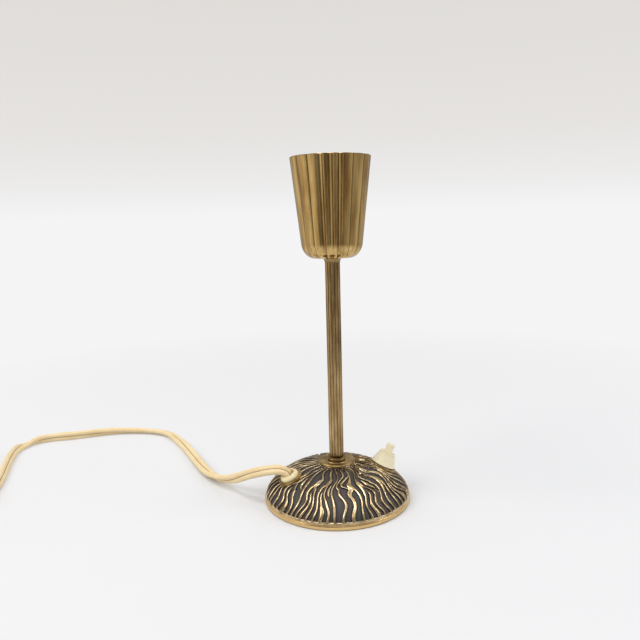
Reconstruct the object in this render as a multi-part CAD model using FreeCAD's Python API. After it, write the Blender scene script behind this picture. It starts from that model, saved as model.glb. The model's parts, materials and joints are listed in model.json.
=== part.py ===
import FreeCAD, Part
import math
import os

# Small brass candle lamp: a cast dome base, a reeded stem and a reeded cup that shades the bulb and
# hides a small screw lampholder, with a push switch on the base and a flat mains flex with its plug.
# Frame: millimetres, +Z up, origin on the table under the middle of the base. The front is the -Y
# side, the switch is on the +X side and the flex leaves on the -X side.

V = FreeCAD.Vector
UP = V(0, 0, 1)
FULL_TURN = 360
QUARTERS = 4
QUARTER_TURN = FULL_TURN / QUARTERS

# Base casting
base_radius = 50.0
rim_lift = 0.4
rim_band_height = 2.2
rim_bevel_width = 0.6
rim_bevel_height = 0.8
dome_rise = 22.4
dome_wall = 3.0
dome_spread_power = 1.89
dome_drop_power = 1.67
dome_curve_steps = 12

# Relief of channels cast into the dome. Lanes run all the way down, in groups of a fixed angle.
# After each lane a form may open: its name, and the share of the way down where it starts
channel_depth = 0.8
channel_cover = 0.8
channel_wall_inset = 0.2
channel_least_width = 1.5
channel_start = 3.0
channel_end = 2.0
channel_steps = 8
channel_least_steps = 4
ridge_top_width = 0.42
ridge_foot_width = 0.85
relief_lanes = (3, 2, 3, 4, 3, 2, 3, 3, 2, 3, 3)
relief_gap_shares = (
    ("single", 0.45), ("arch", 0.50), ("leaf", 0.30), ("arch", 0.42), ("none", 0), ("single", 0.55),
    ("arch", 0.46), ("leaf", 0.22), ("single", 0.40), ("arch", 0.52), ("none", 0), ("arch", 0.44),
    ("leaf", 0.35), ("single", 0.50), ("arch", 0.55), ("lozenge", 0.25), ("none", 0), ("single", 0.38),
    ("arch", 0.48), ("leaf", 0.28), ("arch", 0.45), ("arch", 0.40), ("leaf", 0.33), ("none", 0),
    ("lozenge", 0.22), ("arch", 0.46), ("leaf", 0.30), ("single", 0.52), ("arch", 0.44), ("leaf", 0.26),
    ("single", 0.36),
)
# Each form's ridges and channels: how much each ridge swells, then in shares of the way from the
# start where the ridge grows, ends and is widest, where the channel opens and ends, and its weight
leaf_swelling = 0.7
arch_swelling = 1.1
teardrop_swelling = 1.5
lozenge_top_swelling = 1.0
lozenge_side_swelling = 1.6
relief_swellings = {
    "leaf": (leaf_swelling,),
    "single": (arch_swelling,),
    "arch": (arch_swelling, teardrop_swelling),
    "lozenge": (lozenge_top_swelling, lozenge_side_swelling),
}
relief_form_shares = {
    "leaf": ((0.00, 0.30, 0.15, -0.03, 0.33, 0.8),),
    "single": ((-0.20, 2.0, -0.02, 0.00, 2.0, 1.0),),
    "arch": ((-0.20, 2.0, -0.02, 0.00, 2.0, 0.8), (0.05, 2.0, 0.42, 0.00, 2.0, 0.8)),
    "lozenge": ((-0.15, 2.0, 0.12, 0.00, 0.24, 1.5), (0.00, 2.0, 0.20, 0.26, 2.0, 1.0)),
}
relief_lane_shares = (-1.0, 2.0, 0.5, -1.0, 2.0, 1.0)
ridge_grow_share = 0.16
ridge_swell_share = 0.11
channel_open_share = 0.15
channel_close_share = 0.12
ridge_limit_share = 0.5
phase_step_share = 2.4
sway_phase_share = 2.3
sway_rate_share = 1.6
ridge_sway_rate_share = 14.0
channel_sway_rate_share = 9.0
ridge_sway_share = 0.22
channel_sway_share = 0.30
warp_reach = 1.2
warp_rim_reach = 0.25
warp_bend_share = 0.8
warp_wave_shares = ((5, 8.5, 0.4), (8, 6.0, 2.1), (3, 12.0, 4.0))
boss_radius = 9.0
boss_depth = 5.0
post_radius = 3.0
post_wall_gap = 2.0

# Closing plate, its screws and the felt
felt_thickness = 1.2
felt_inset = 0.7
plate_thickness = 1.0
plate_ledge = 1.0
plate_clearance = 0.3
screw_count = 3
screw_start_angle = 107.75
screw_radius = 1.25
screw_length = 6.0
screw_tip_gap = 0.6
screw_head_radius = 2.4
screw_head_height = 0.8
screw_clearance = 0.2

# Fasteners on the stem
thread_clearance = 0.05
washer_radius = 8.5
washer_thickness = 1.0
nut_across_flats = 13.0
nut_height = 4.0
nut_sides = 6
spigot_overhang = 0.8

# Disc, foot ring, stem and neck collar
disc_radius = 12.5
disc_thickness = 1.1
disc_bevel = 0.35
disc_seat_inset = 1.0
disc_groove_radius = 8.0
disc_groove_width = 0.6
disc_groove_depth = 0.25
ring_radius = 6.2
ring_height = 2.8
ring_bulge = 0.5
stem_radius = 5.0
stem_length = 132.6
stem_bore_radius = 2.8
stem_reeds = 14
stem_end_round = 0.8
reed_valley_share = 0.93
spigot_radius = 4.0
collar_height = 3.0
collar_top_radius = 6.3
collar_waist_share = 0.3

# Cup
cup_height = 64.1
cup_mouth_radius = 26.0
cup_shoulder_radius = 20.1
cup_shoulder_height = 9.9
cup_floor_radius = 12.5
cup_floor_thickness = 2.0
cup_wall = 1.5
cup_ribs = 16
cup_valley_share = 0.97
cup_shoulder_power = 1.8
cup_shoulder_steps = 6

# Lampholder
holder_radius = 11.5
holder_wall = 2.0
holder_ledge = 1.0
holder_floor_height = 6.0
holder_gap = 0.5
holder_cavity_height = 7.0
insert_radius = 5.8
insert_engagement = 4.0
grub_radius = 1.5
grub_clearance = 0.1
fit_gap = 0.1
carrier_thickness = 5.0
carrier_rim_height = 3.0
carrier_rim_width = 1.7
skirt_height = 21.0
shell_bore_radius = 7.0
shell_wall = 0.5
shell_length = 14.0
shell_flange_thickness = 0.7
contact_strip = 0.5
contact_width = 4.0
contact_offset = 5.0
contact_overhang = 2.0
contact_tip_width = 1.0
contact_tip_gap = 0.3
rivet_radius = 1.0
terminal_width = 3.0
terminal_height = 2.0

# Push switch on the dome
switch_place_share = 0.67
switch_angle = 15.5
switch_boss_radius = 9.6
switch_boss_lift = 0.3
boss_inner_depth = 1.0
switch_washer_radius = 8.0
switch_washer_thickness = 0.5
cap_radius = 8.75
cap_height = 8.7
cap_top_radius = 5.5
cap_lip_height = 0.7
cap_lip_step = 0.35
cap_rim_width = 0.8
cap_rim_depth = 0.4
cap_roof = 2.0
bushing_radius = 5.0
bushing_bore_radius = 3.4
bushing_top_gap = 0.4
bushing_ledge = 1.0
bushing_tail_radius = 3.9
button_radius = 2.8
button_reach = 6.5
button_chamfer = 0.5
button_hole_gap = 0.15
button_travel = 2.5
button_collar_gap = 0.08
button_collar_height = 1.5
plunger_radius = 1.6
plunger_gap = 0.1
switch_body_radius = 8.0
switch_body_height = 9.0
switch_body_wall = 1.2
bridge_radius = 4.5
bridge_thickness = 0.6
bridge_drop = 3.8
contact_pad_height = 0.8
contact_pad_inset = 2.5
contact_bar_width = 3.0
contact_bar_thickness = 0.6
contact_bar_reach = 2.5
contact_touch_gap = 0.1
slot_clearance = 0.1
terminal_screw_radius = 1.2
terminal_screw_height = 1.4
spring_wire_radius = 0.25
spring_side_gap = 0.35
spring_turns = 7

# Flex bushing on the dome
bush_place_share = 0.666
bush_angle = 200.0
bush_boss_radius = 8.25
bush_boss_lift = 1.0
bush_flange_radius = 6.25
bush_flange_height = 3.4
bush_lip_height = 0.9
bush_shank_radius = 4.8
bush_shank_length = 8.0
bush_bore_gap = 0.1
bush_mouth_depth = 2.2
bush_mouth_flare = 1.2
bush_throat_share = 0.3
bush_hole_gap = 0.1
bush_nut_radius = 7.4
bush_nut_height = 2.6

# Flex and cores
flex_width = 7.2
flex_floor_gap = 0.1
flex_entry_depth = 1.0
flex_tail = 8.0
core_radius = 1.2
core_gap = 0.1
core_drop = 3.5
core_floor_gap = 2.6
core_lead = 7.0
core_neutral_share = 0.45
core_live_share = 0.62
core_live_angle = 240.0
core_turn_share = 0.72
core_turn_angle = 295.0
core_back_share = 0.54
core_back_angle = 75.0
core_rise = 1.5
arc_reach_share = 0.45

# Put-away coil of the flex
coil_middle_radius = 39.4
coil_pitch = 7.9
coil_layer_turns = 2.5
coil_climb_turns = 0.25
coil_climb_rate_share = 0.75
coil_lead = 20.0
coil_tail_mid_share = 0.4
coil_tail_end_share = 0.75
coil_tail_drop_share = 0.25

# Plug
plug_height = 13.7
plug_length = 32.0
plug_rear_width = 15.0
plug_front_width = 34.0
plug_waist_share = 0.45
plug_wall = 2.0
plug_corner_radius = 2.5
plug_screw_radius = 1.5
plug_screw_head_radius = 3.0
plug_screw_head_height = 1.6
relief_length = 20.0
relief_rear_radius = 4.5
relief_front_radius = 5.6
relief_grooves = 4
relief_groove_depth = 0.6
relief_groove_share = 0.5
relief_socket_depth = 3.0
pin_radius = 2.0
pin_length = 19.0
pin_spacing = 19.0
pin_root = 9.0
pin_root_radius = 2.5

# Route of the flex on the table, from its exit bend to the start of the coil
flex_radius = flex_width / 2
flex_level = flex_radius + flex_floor_gap
flex_bend_run = 5.5
flex_bend_lift = 27.0
flex_bend_angle = 185.0
flex_route = [
    V(-46.6, -10.2, 23.9),
    V(-60.0, -2.0, 18.0),
    V(-76.0, 13.0, 7.0),
    V(-90.0, 25.0, flex_level),
    V(-103.0, 44.0, flex_level),
    V(-119.0, 76.0, flex_level),
    V(-136.0, 107.0, flex_level),
    V(-151.0, 127.5, flex_level),
    V(-175.0, 135.0, flex_level),
    V(-205.0, 133.0, flex_level),
    V(-234.5, 121.0, flex_level),
    V(-252.0, 117.8, flex_level),
    V(-265.5, 111.0, flex_level),
    V(-272.2, 96.4, flex_level),
    V(-269.6, 80.6, flex_level),
    V(-262.3, 57.0, flex_level),
    V(-252.5, 30.0, flex_level),
    V(-247.2, 8.0, flex_level),
    V(-247.2, -12.0, flex_level),
]

# Heights of the base and the stem
plate_bottom = felt_thickness
plate_top = plate_bottom + plate_thickness
rim_top = rim_lift + rim_band_height
dome_foot = rim_top + rim_bevel_height
dome_radius = base_radius - rim_bevel_width
dome_top = dome_foot + dome_rise
cavity_radius = dome_radius - dome_wall
cavity_rise = dome_rise - dome_wall
plate_radius = cavity_radius + plate_ledge
boss_bottom = dome_top - boss_depth
post_circle = cavity_radius - post_radius - post_wall_gap
switch_radius = base_radius * switch_place_share
bush_radius = base_radius * bush_place_share
disc_top = dome_top + disc_thickness
ring_top = disc_top + ring_height
stem_top = ring_top + stem_length
cup_bottom = stem_top + collar_height
cup_top = cup_bottom + cup_height
cup_floor = cup_bottom + cup_floor_thickness
cup_shoulder = cup_bottom + cup_shoulder_height
threaded_bore = spigot_radius + thread_clearance
spigot_bottom = boss_bottom - washer_thickness - nut_height - spigot_overhang

# Heights and radii of the lampholder
holder_bottom = cup_floor + washer_thickness + nut_height + holder_gap
insert_top = holder_bottom + holder_floor_height
spigot_top = holder_bottom + insert_engagement
carrier_bottom = insert_top + holder_cavity_height
carrier_top = carrier_bottom + carrier_thickness
carrier_rim_top = carrier_top + carrier_rim_height
shell_bottom = carrier_rim_top + fit_gap
shell_top = shell_bottom + shell_length
shell_outer_radius = shell_bore_radius + shell_wall
carrier_radius = holder_radius - holder_wall - fit_gap
skirt_bottom = carrier_top
skirt_top = skirt_bottom + skirt_height

# Heights of the switch along its own axis, from the dome's surface
inner_face = -dome_wall - boss_inner_depth
cap_bottom = switch_boss_lift + switch_washer_thickness
cap_top = cap_bottom + cap_height
cap_roof_bottom = cap_top - cap_roof
bushing_top = cap_roof_bottom - bushing_top_gap
button_top = cap_top + button_reach
collar_top = cap_roof_bottom - button_collar_gap
collar_bottom = collar_top - button_collar_height
body_bottom = inner_face - switch_body_height
body_roof = inner_face - switch_body_wall
body_floor = body_bottom + switch_body_wall
bridge_top = inner_face - bridge_drop
bridge_bottom = bridge_top - bridge_thickness
pad_top = bridge_bottom - button_travel - contact_touch_gap
bar_top = pad_top - contact_pad_height
terminal_reach = switch_body_radius + contact_bar_reach

core_level = plate_top + core_floor_gap
core_offset = core_radius + core_gap / 2


def polar(radius, degrees, height):
    """Point at a radius and an angle about the Z axis."""
    turn = math.radians(degrees)
    return V(radius * math.cos(turn), radius * math.sin(turn), height)


def outline_face(start, steps):
    """Face in the XZ plane. A step is a corner, or a pair that gives an arc's middle and end."""
    edges = []
    here = V(start[0], 0, start[1])
    first = here
    for step in steps + [start]:
        is_arc = isinstance(step[0], tuple)
        corner = step[1] if is_arc else step
        there = V(corner[0], 0, corner[1])
        if is_arc:
            edges.append(Part.Arc(here, V(step[0][0], 0, step[0][1]), there).toShape())
        else:
            edges.append(Part.LineSegment(here, there).toShape())
        here = there
    return Part.Face(Part.Wire(edges))


def turned(start, steps):
    """Solid of revolution about Z from an outline of (radius, height) corners."""
    return outline_face(start, steps).revolve(V(0, 0, 0), UP, FULL_TURN)


def tube(inner_radius, outer_radius, low, high):
    """Plain ring between two heights."""
    return turned((inner_radius, low), [(outer_radius, low), (outer_radius, high), (inner_radius, high)])


def post(radius, low, high, x=0.0, y=0.0):
    """Solid cylinder along Z."""
    return Part.makeCylinder(radius, high - low, V(x, y, low))


def block(low, high):
    """Box between two corners."""
    size = high - low
    return Part.makeBox(size.x, size.y, size.z, low)


def round_path(points, name):
    """Straight runs joined by tangent arcs, each as large as its two runs allow."""
    edges = []
    radii = []
    here = points[0]
    for before, corner, after in zip(points, points[1:], points[2:]):
        into = corner - before
        out = after - corner
        half = into.getAngle(out) / 2
        reach = arc_reach_share * min(into.Length, out.Length)
        radius = reach / math.tan(half)
        into.normalize()
        out.normalize()
        start = corner - into * reach
        end = corner + out * reach
        inward = (out - into).normalize()
        middle = corner + inward * (radius / math.cos(half) - radius)
        edges.append(Part.LineSegment(here, start).toShape())
        edges.append(Part.Arc(start, middle, end).toShape())
        radii.append(radius)
        here = end
    edges.append(Part.LineSegment(here, points[-1]).toShape())
    wire = Part.Wire(edges)
    print(name, "length %.1f" % wire.Length, "radii", ["%.1f" % radius for radius in radii])
    return wire


def biarc(start, start_way, end, end_way):
    """Two arcs that leave one point and reach another along given directions."""
    span = end - start
    ways = start_way + end_way
    gain = 2 * (1 - start_way.dot(end_way))
    along = span.dot(ways)
    reach = (math.sqrt(along * along + gain * span.dot(span)) - along) / gain
    first = start + start_way * reach
    last = end - end_way * reach
    joint = (first + last) * 0.5
    edges = []
    for low, knee, high in ((start, first, joint), (joint, last, end)):
        chord = high - low
        half = chord.getAngle(knee - low)
        middle = (low + high) * 0.5
        bulge = (knee - middle).normalize() * (chord.Length / 2 * math.tan(half / 2))
        edges.append(Part.Arc(low, middle + bulge, high).toShape())
    return edges


def wound_edges(stations):
    """Biarcs through a list of (point, direction)."""
    edges = []
    for (start, start_way), (end, end_way) in zip(stations, stations[1:]):
        edges += biarc(start, start_way, end, end_way)
    return edges


def swept(wire, radius, name):
    """Round tube along a wire, in the sweep's default mode."""
    first = wire.Edges[0]
    start = first.valueAt(first.FirstParameter)
    way = first.tangentAt(first.FirstParameter)
    ring = Part.Wire(Part.Circle(start, way, radius).toShape())
    solid = wire.makePipeShell([ring], True, False)
    section = math.pi * radius * radius
    print(name, "volume %.1f" % solid.Volume, "section times length %.1f" % (section * wire.Length))
    return solid


def dome_curve(radius, rise, inner_radius):
    """Arch of the dome's formula as (radius, height), from its foot up to an inner radius."""
    stop = math.acos((inner_radius / radius) ** (dome_spread_power / 2))
    points = []
    for step in range(dome_curve_steps + 1):
        turn = stop * step / dome_curve_steps
        out = radius * math.cos(turn) ** (2 / dome_spread_power)
        up = dome_foot + rise * math.sin(turn) ** (2 / dome_drop_power)
        points.append(V(out, 0, up))
    return points


def dome_height(radius):
    """Height of the dome's outer surface at a radius."""
    share = 1 - (radius / dome_radius) ** dome_spread_power
    return dome_foot + dome_rise * share ** (1 / dome_drop_power)


def dome_tilt(radius):
    """Angle between the dome's outer normal and Z, in degrees."""
    height_share = (dome_height(radius) - dome_foot) / dome_rise
    radius_share = radius / dome_radius
    outward = dome_spread_power / dome_radius * radius_share ** (dome_spread_power - 1)
    upward = dome_drop_power / dome_rise * height_share ** (dome_drop_power - 1)
    return math.degrees(math.atan2(outward, upward))


def dome_seat(radius, angle):
    """Placement whose Z axis is the dome's normal and whose Y axis runs round the dome."""
    turn = FreeCAD.Rotation(UP, angle).multiply(FreeCAD.Rotation(V(0, 1, 0), dome_tilt(radius)))
    return FreeCAD.Placement(polar(radius, angle, dome_height(radius)), turn)


def seated(shape, seat):
    """The shape moved from a seat's own frame to its place."""
    shape.Placement = seat.multiply(shape.Placement)
    return shape


def line_to_line(points):
    """Edges of an open chain of straight lines."""
    return [Part.LineSegment(a, b).toShape() for a, b in zip(points, points[1:])]


def smooth_edge(points):
    """Edge of a smooth curve through points."""
    curve = Part.BSplineCurve()
    curve.interpolate(points)
    return curve.toShape()


switch_seat = dome_seat(switch_radius, switch_angle)
bush_seat = dome_seat(bush_radius, bush_angle)


def relief_items():
    """Ridges and channels in turn round the dome: group, start, swelling, shares and phase."""
    items = []
    gaps = iter(relief_gap_shares)
    for group, lanes in enumerate(relief_lanes):
        for lane in range(lanes):
            form, start = next(gaps)
            items.append((group, 0, 0, relief_lane_shares))
            for swelling, shares in zip(relief_swellings.get(form, ()), relief_form_shares.get(form, ())):
                items.append((group, start, swelling, shares))
    return [(*item, k * phase_step_share) for k, item in enumerate(items)]


def smooth_step(share):
    """Smooth step from 0 to 1."""
    share = min(max(share, 0), 1)
    return share * share * (3 - 2 * share)


def sway(phase, share, waves):
    """Gentle wander about 0 along the way down."""
    return (math.sin(phase + waves * share) + math.sin(sway_phase_share * phase + sway_rate_share * waves * share)) / 2


def ridge_width(item, share):
    """Width of a ridge at a share of the way down."""
    group, start, swelling, (grow, end, widest, opens, closes, weight), phase = item
    plain = ridge_top_width + (ridge_foot_width - ridge_top_width) * smooth_step(share)
    away = (share - start - widest) / ridge_swell_share
    bulge = swelling * (1 + ridge_sway_share * math.sin(phase)) * math.exp(-away * away)
    grown = smooth_step((share - start - grow) / ridge_grow_share)
    kept = smooth_step((start + end - share) / channel_close_share)
    return (plain + bulge) * (1 + ridge_sway_share * sway(phase, share, ridge_sway_rate_share)) * grown * kept


def channel_weight(item, share):
    """Share of its group's room that a channel takes, before the shares are evened out."""
    group, start, swelling, (grow, end, widest, opens, closes, weight), phase = item
    opened = smooth_step((share - start - opens) / channel_open_share)
    closed = smooth_step((start + closes - share) / channel_close_share)
    return weight * math.sqrt(opened * closed) * (1 + channel_sway_share * sway(phase, share, channel_sway_rate_share))


def channel_ring(items, share, radius):
    """Angle in radians of each channel's middle, and its width, at a share of the way down."""
    ridges = [ridge_width(item, share) for item in items]
    weights = [channel_weight(item, share) for item in items]
    ring = []
    low = 0
    for group, lanes in enumerate(relief_lanes):
        own = [k for k, item in enumerate(items) if item[0] == group]
        after = (own[-1] + 1) % len(items)
        span = math.radians(FULL_TURN * lanes / sum(relief_lanes))
        room = span * radius - (ridges[own[0]] + ridges[after]) / 2
        inner = sum(ridges[k] for k in own[1:])
        squeeze = min(1, ridge_limit_share * room / inner) if inner else 1
        for k in own[1:]:
            ridges[k] *= squeeze
        free = room - inner * squeeze
        here = low * radius
        for k in own:
            width = free * weights[k] / sum(weights[j] for j in own)
            middle = (here + (ridges[k] + width) / 2) / radius
            ring.append((middle + warp_shift(middle, share) / radius, width))
            here += ridges[k] / 2 + width + ridges[(k + 1) % len(items)] / 2
        low += span
    return ring


def warp_shift(angle, share):
    """Sideways shift of the whole pattern at an angle, so that neighbours flow together."""
    reach = warp_reach * math.sin(math.pi * share ** warp_bend_share) + warp_rim_reach * share
    return reach * sum(math.sin(k * angle + rate * share + phase) for k, rate, phase in warp_wave_shares)


def dome_stations():
    """Places down the dome as (share of its arc, radius, tilt of its normal)."""
    arch = dome_curve(dome_radius, dome_rise, disc_radius - disc_seat_inset)[::-1]
    curve = Part.BSplineCurve()
    curve.interpolate(arch)
    length = curve.length()
    stations = []
    for step in range(channel_steps + 1):
        way = channel_start + (length - channel_start - channel_end) * step / channel_steps
        place = curve.value(curve.parameterAtDistance(way))
        stations.append((way / length, place, dome_tilt(place.x)))
    return stations


def channel_section(angle, width, place, tilt):
    """Square outline of one channel across its way, sunk into the dome and open above it."""
    lean = math.radians(tilt)
    corners = []
    for side, height in ((-1, -channel_depth), (1, -channel_depth), (1, channel_cover), (-1, channel_cover)):
        turn = angle + side * (width / 2 - channel_wall_inset) / place.x
        out = place.x + height * math.sin(lean)
        corners.append(polar(out, math.degrees(turn), place.z + height * math.cos(lean)))
    return Part.makePolygon(corners + corners[:1])


def relief_channels():
    """Bars that cut the main channels of the relief into the dome."""
    items = relief_items()
    stations = dome_stations()
    rings = [channel_ring(items, share, place.x) for share, place, tilt in stations]
    bars = []
    for k in range(len(items)):
        sections = []
        for ring, (share, place, tilt) in zip(rings, stations):
            angle, width = ring[k]
            if width > channel_least_width:
                sections.append(channel_section(angle, width, place, tilt))
        if len(sections) >= channel_least_steps:
            bars.append(Part.makeLoft(sections, True, False))
    return bars


def base_casting():
    """Hollow cast dome with a middle boss, seats for switch and bushing, and screw posts."""
    seat = disc_radius - disc_seat_inset
    bore = threaded_bore
    outer = dome_curve(dome_radius, dome_rise, seat)
    inner = dome_curve(cavity_radius, cavity_rise, boss_radius)
    rebate = plate_radius + plate_clearance
    lower = [
        inner[0],
        V(cavity_radius, 0, plate_top),
        V(rebate, 0, plate_top),
        V(rebate, 0, rim_lift),
        V(base_radius, 0, rim_lift),
        V(base_radius, 0, rim_top),
        outer[0],
    ]
    upper = [
        outer[-1],
        V(seat, 0, dome_top),
        V(bore, 0, dome_top),
        V(bore, 0, boss_bottom),
        V(boss_radius, 0, boss_bottom),
        inner[-1],
    ]
    edges = line_to_line(lower) + [smooth_edge(outer)] + line_to_line(upper)
    edges.append(smooth_edge(inner[::-1]))
    casting = Part.Face(Part.Wire(edges)).revolve(V(0, 0, 0), UP, FULL_TURN)
    return drilled_casting(casting.cut(relief_channels()))


def cavity_envelope():
    """Inside of the dome grown by half its wall, which trims what is cast onto it."""
    arch = dome_curve(cavity_radius + dome_wall / 2, cavity_rise + dome_wall / 2, boss_radius)
    loop = [arch[-1], V(0, 0, arch[-1].z), V(0, 0, plate_top), V(arch[0].x, 0, plate_top), arch[0]]
    edges = [smooth_edge(arch)] + line_to_line(loop)
    return Part.Face(Part.Wire(edges)).revolve(V(0, 0, 0), UP, FULL_TURN)


def drilled_casting(casting):
    """The casting with its seats and posts added and its holes bored."""
    envelope = cavity_envelope()
    switch_pad = post(switch_boss_radius, inner_face, switch_boss_lift)
    bush_pad = post(bush_boss_radius, inner_face, bush_boss_lift)
    casting = casting.fuse(seated(switch_pad, switch_seat))
    casting = casting.fuse(seated(bush_pad, bush_seat))
    for place in screw_places():
        stud = post(post_radius, plate_top, dome_top, place.x, place.y).common(envelope)
        casting = casting.fuse(stud)
    for place in screw_places():
        depth = screw_length - plate_thickness + screw_tip_gap
        hole = post(screw_radius, plate_top, plate_top + depth, place.x, place.y)
        casting = casting.cut(hole)
    switch_hole = post(bushing_radius + thread_clearance, inner_face - dome_wall, dome_wall)
    bush_hole = post(bush_shank_radius + bush_hole_gap, inner_face - dome_wall, dome_wall)
    casting = casting.cut(seated(switch_hole, switch_seat))
    casting = casting.cut(seated(bush_hole, bush_seat))
    return casting


def screw_places():
    """Axes of the closing plate's screws."""
    step = FULL_TURN / screw_count
    return [polar(post_circle, screw_start_angle + step * k, 0) for k in range(screw_count)]


def base_plate():
    """Round sheet that closes the dome from below."""
    plate = post(plate_radius, plate_bottom, plate_top)
    for place in screw_places():
        plate = plate.cut(post(screw_radius + screw_clearance, plate_bottom, plate_top, place.x, place.y))
    return plate


def felt_pad():
    """Felt under the plate, with a hole at each screw head."""
    pad = post(plate_radius - felt_inset, 0, felt_thickness)
    for place in screw_places():
        pad = pad.cut(post(screw_head_radius + screw_clearance, 0, felt_thickness, place.x, place.y))
    return pad


def plate_screws():
    """Pan-head screws up into the posts."""
    screws = []
    for place in screw_places():
        head_low = plate_bottom - screw_head_height
        head = post(screw_head_radius, head_low, plate_bottom, place.x, place.y)
        tip = plate_bottom + screw_length
        screws.append(head.fuse(post(screw_radius - thread_clearance, plate_bottom, tip, place.x, place.y)))
    return Part.makeCompound(screws)


def stem_disc():
    """Flat disc on the dome's crown, with a turned groove."""
    edge = disc_radius - disc_bevel
    groove_in = disc_groove_radius - disc_groove_width / 2
    groove_out = disc_groove_radius + disc_groove_width / 2
    groove_floor = disc_top - disc_groove_depth
    steps = [
        (edge, dome_top),
        (disc_radius, dome_top + disc_bevel),
        (disc_radius, disc_top - disc_bevel),
        (edge, disc_top),
        (groove_out, disc_top),
        (groove_out, groove_floor),
        (groove_in, groove_floor),
        (groove_in, disc_top),
        (threaded_bore, disc_top),
    ]
    return turned((threaded_bore, dome_top), steps)


def foot_ring():
    """Ring with a round edge, between the disc and the stem."""
    flat = ring_radius - ring_bulge
    edge = ((ring_radius, disc_top + ring_height / 2), (flat, ring_top))
    return turned((threaded_bore, disc_top), [(flat, disc_top), edge, (threaded_bore, ring_top)])


def reeded_ring(crest_radius, height, count, valley_share):
    """Closed ring of equal arcs that bulge outwards, one of them centred on the front."""
    step = FULL_TURN / count
    valley = crest_radius * valley_share
    front = -QUARTER_TURN
    edges = []
    for k in range(count):
        angle = front + step * k
        low = polar(valley, angle - step / 2, height)
        high = polar(valley, angle + step / 2, height)
        edges.append(Part.Arc(low, polar(crest_radius, angle, height), high).toShape())
    return Part.Wire(edges)


def stem_tube():
    """Reeded rod with a turned threaded spigot at each end and a bore for the cores."""
    ring = reeded_ring(stem_radius, ring_top, stem_reeds, reed_valley_share)
    reeds = Part.Face(ring).extrude(V(0, 0, stem_length))
    neck = stem_radius - stem_end_round
    bevel = stem_end_round * (1 - math.sqrt(0.5))
    low_arc = ((stem_radius - bevel, ring_top + bevel), (stem_radius, ring_top + stem_end_round))
    envelope = turned((0, ring_top), [(neck, ring_top), low_arc, (stem_radius, stem_top), (0, stem_top)])
    rod = reeds.common(envelope)
    rod = rod.fuse(post(spigot_radius, spigot_bottom, ring_top))
    rod = rod.fuse(post(spigot_radius, stem_top, spigot_top))
    return rod.cut(post(stem_bore_radius, spigot_bottom, spigot_top))


def washer(low):
    """Flat washer on a spigot."""
    return tube(threaded_bore, washer_radius, low, low + washer_thickness)


def hexagon(across_flats, low, high):
    """Six-sided prism about the Z axis."""
    corner = across_flats / 2 / math.cos(math.pi / nut_sides)
    points = [polar(corner, FULL_TURN / nut_sides * k, low) for k in range(nut_sides)]
    return Part.Face(Part.makePolygon(points + points[:1])).extrude(V(0, 0, high - low))


def nut(low):
    """Hexagon nut on a spigot."""
    high = low + nut_height
    return hexagon(nut_across_flats, low, high).cut(post(threaded_bore, low, high))


def neck_collar():
    """Turned collar that spreads from the stem to the cup."""
    waist = stem_radius + (collar_top_radius - stem_radius) * collar_waist_share
    flare = ((waist, stem_top + collar_height / 2), (collar_top_radius, cup_bottom))
    return turned((threaded_bore, stem_top), [(stem_radius, stem_top), flare, (threaded_bore, cup_bottom)])


def shoulder_radius(low_radius, high_radius, share):
    """Radius on the cup's round shoulder at a share of its height."""
    left = (1 - share) ** cup_shoulder_power
    return low_radius + (high_radius - low_radius) * (1 - left) ** (1 / cup_shoulder_power)


def shoulder_shares():
    """Height shares of the shoulder's sections, close together at its foot."""
    return [(step / cup_shoulder_steps) ** 2 for step in range(cup_shoulder_steps + 1)]


def cup():
    """Reeded cup: a round shoulder and a straight flare, bored plain inside."""
    rings = []
    for share in shoulder_shares():
        radius = shoulder_radius(cup_floor_radius, cup_shoulder_radius, share)
        height = cup_bottom + cup_shoulder_height * share
        rings.append(reeded_ring(radius, height, cup_ribs, cup_valley_share))
    mouth = reeded_ring(cup_mouth_radius, cup_top, cup_ribs, cup_valley_share)
    shoulder = Part.makeLoft(rings, True, False)
    flare = Part.makeLoft([rings[-1], mouth], True, True)
    solid = shoulder.fuse(flare).cut(cup_cavity())
    return solid.cut(post(threaded_bore, cup_bottom, cup_floor))


def cup_cavity():
    """Plain round inside of the cup."""
    low_radius = cup_floor_radius - cup_wall
    high_radius = cup_shoulder_radius * cup_valley_share - cup_wall
    mouth_radius = cup_mouth_radius * cup_valley_share - cup_wall
    depth = cup_shoulder - cup_floor
    curve = []
    for share in shoulder_shares():
        radius = shoulder_radius(low_radius, high_radius, share)
        curve.append(V(radius, 0, cup_floor + depth * share))
    loop = [curve[-1], V(mouth_radius, 0, cup_top), V(0, 0, cup_top), V(0, 0, cup_floor), curve[0]]
    edges = [smooth_edge(curve)] + line_to_line(loop)
    return Part.Face(Part.Wire(edges)).revolve(V(0, 0, 0), UP, FULL_TURN)


def holder_base():
    """Moulded lower half of the lampholder."""
    cavity = holder_radius - holder_wall
    throat = cavity - holder_ledge
    socket = insert_radius + thread_clearance
    steps = [
        (holder_radius, holder_bottom),
        (holder_radius, carrier_top),
        (cavity, carrier_top),
        (cavity, carrier_bottom),
        (throat, carrier_bottom),
        (throat, insert_top),
        (socket, insert_top),
    ]
    shell = turned((socket, holder_bottom), steps)
    return shell.cut(grub_cylinder(grub_radius + grub_clearance))


def grub_cylinder(radius):
    """Sideways cylinder through the lampholder's floor, at the front."""
    middle = (holder_bottom + insert_top) / 2
    start = insert_radius + thread_clearance
    return Part.makeCylinder(radius, holder_radius - start, V(0, -start, middle), V(0, -1, 0))


def holder_insert():
    """Threaded steel bush that screws onto the stem."""
    return tube(threaded_bore, insert_radius, holder_bottom, insert_top)


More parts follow.
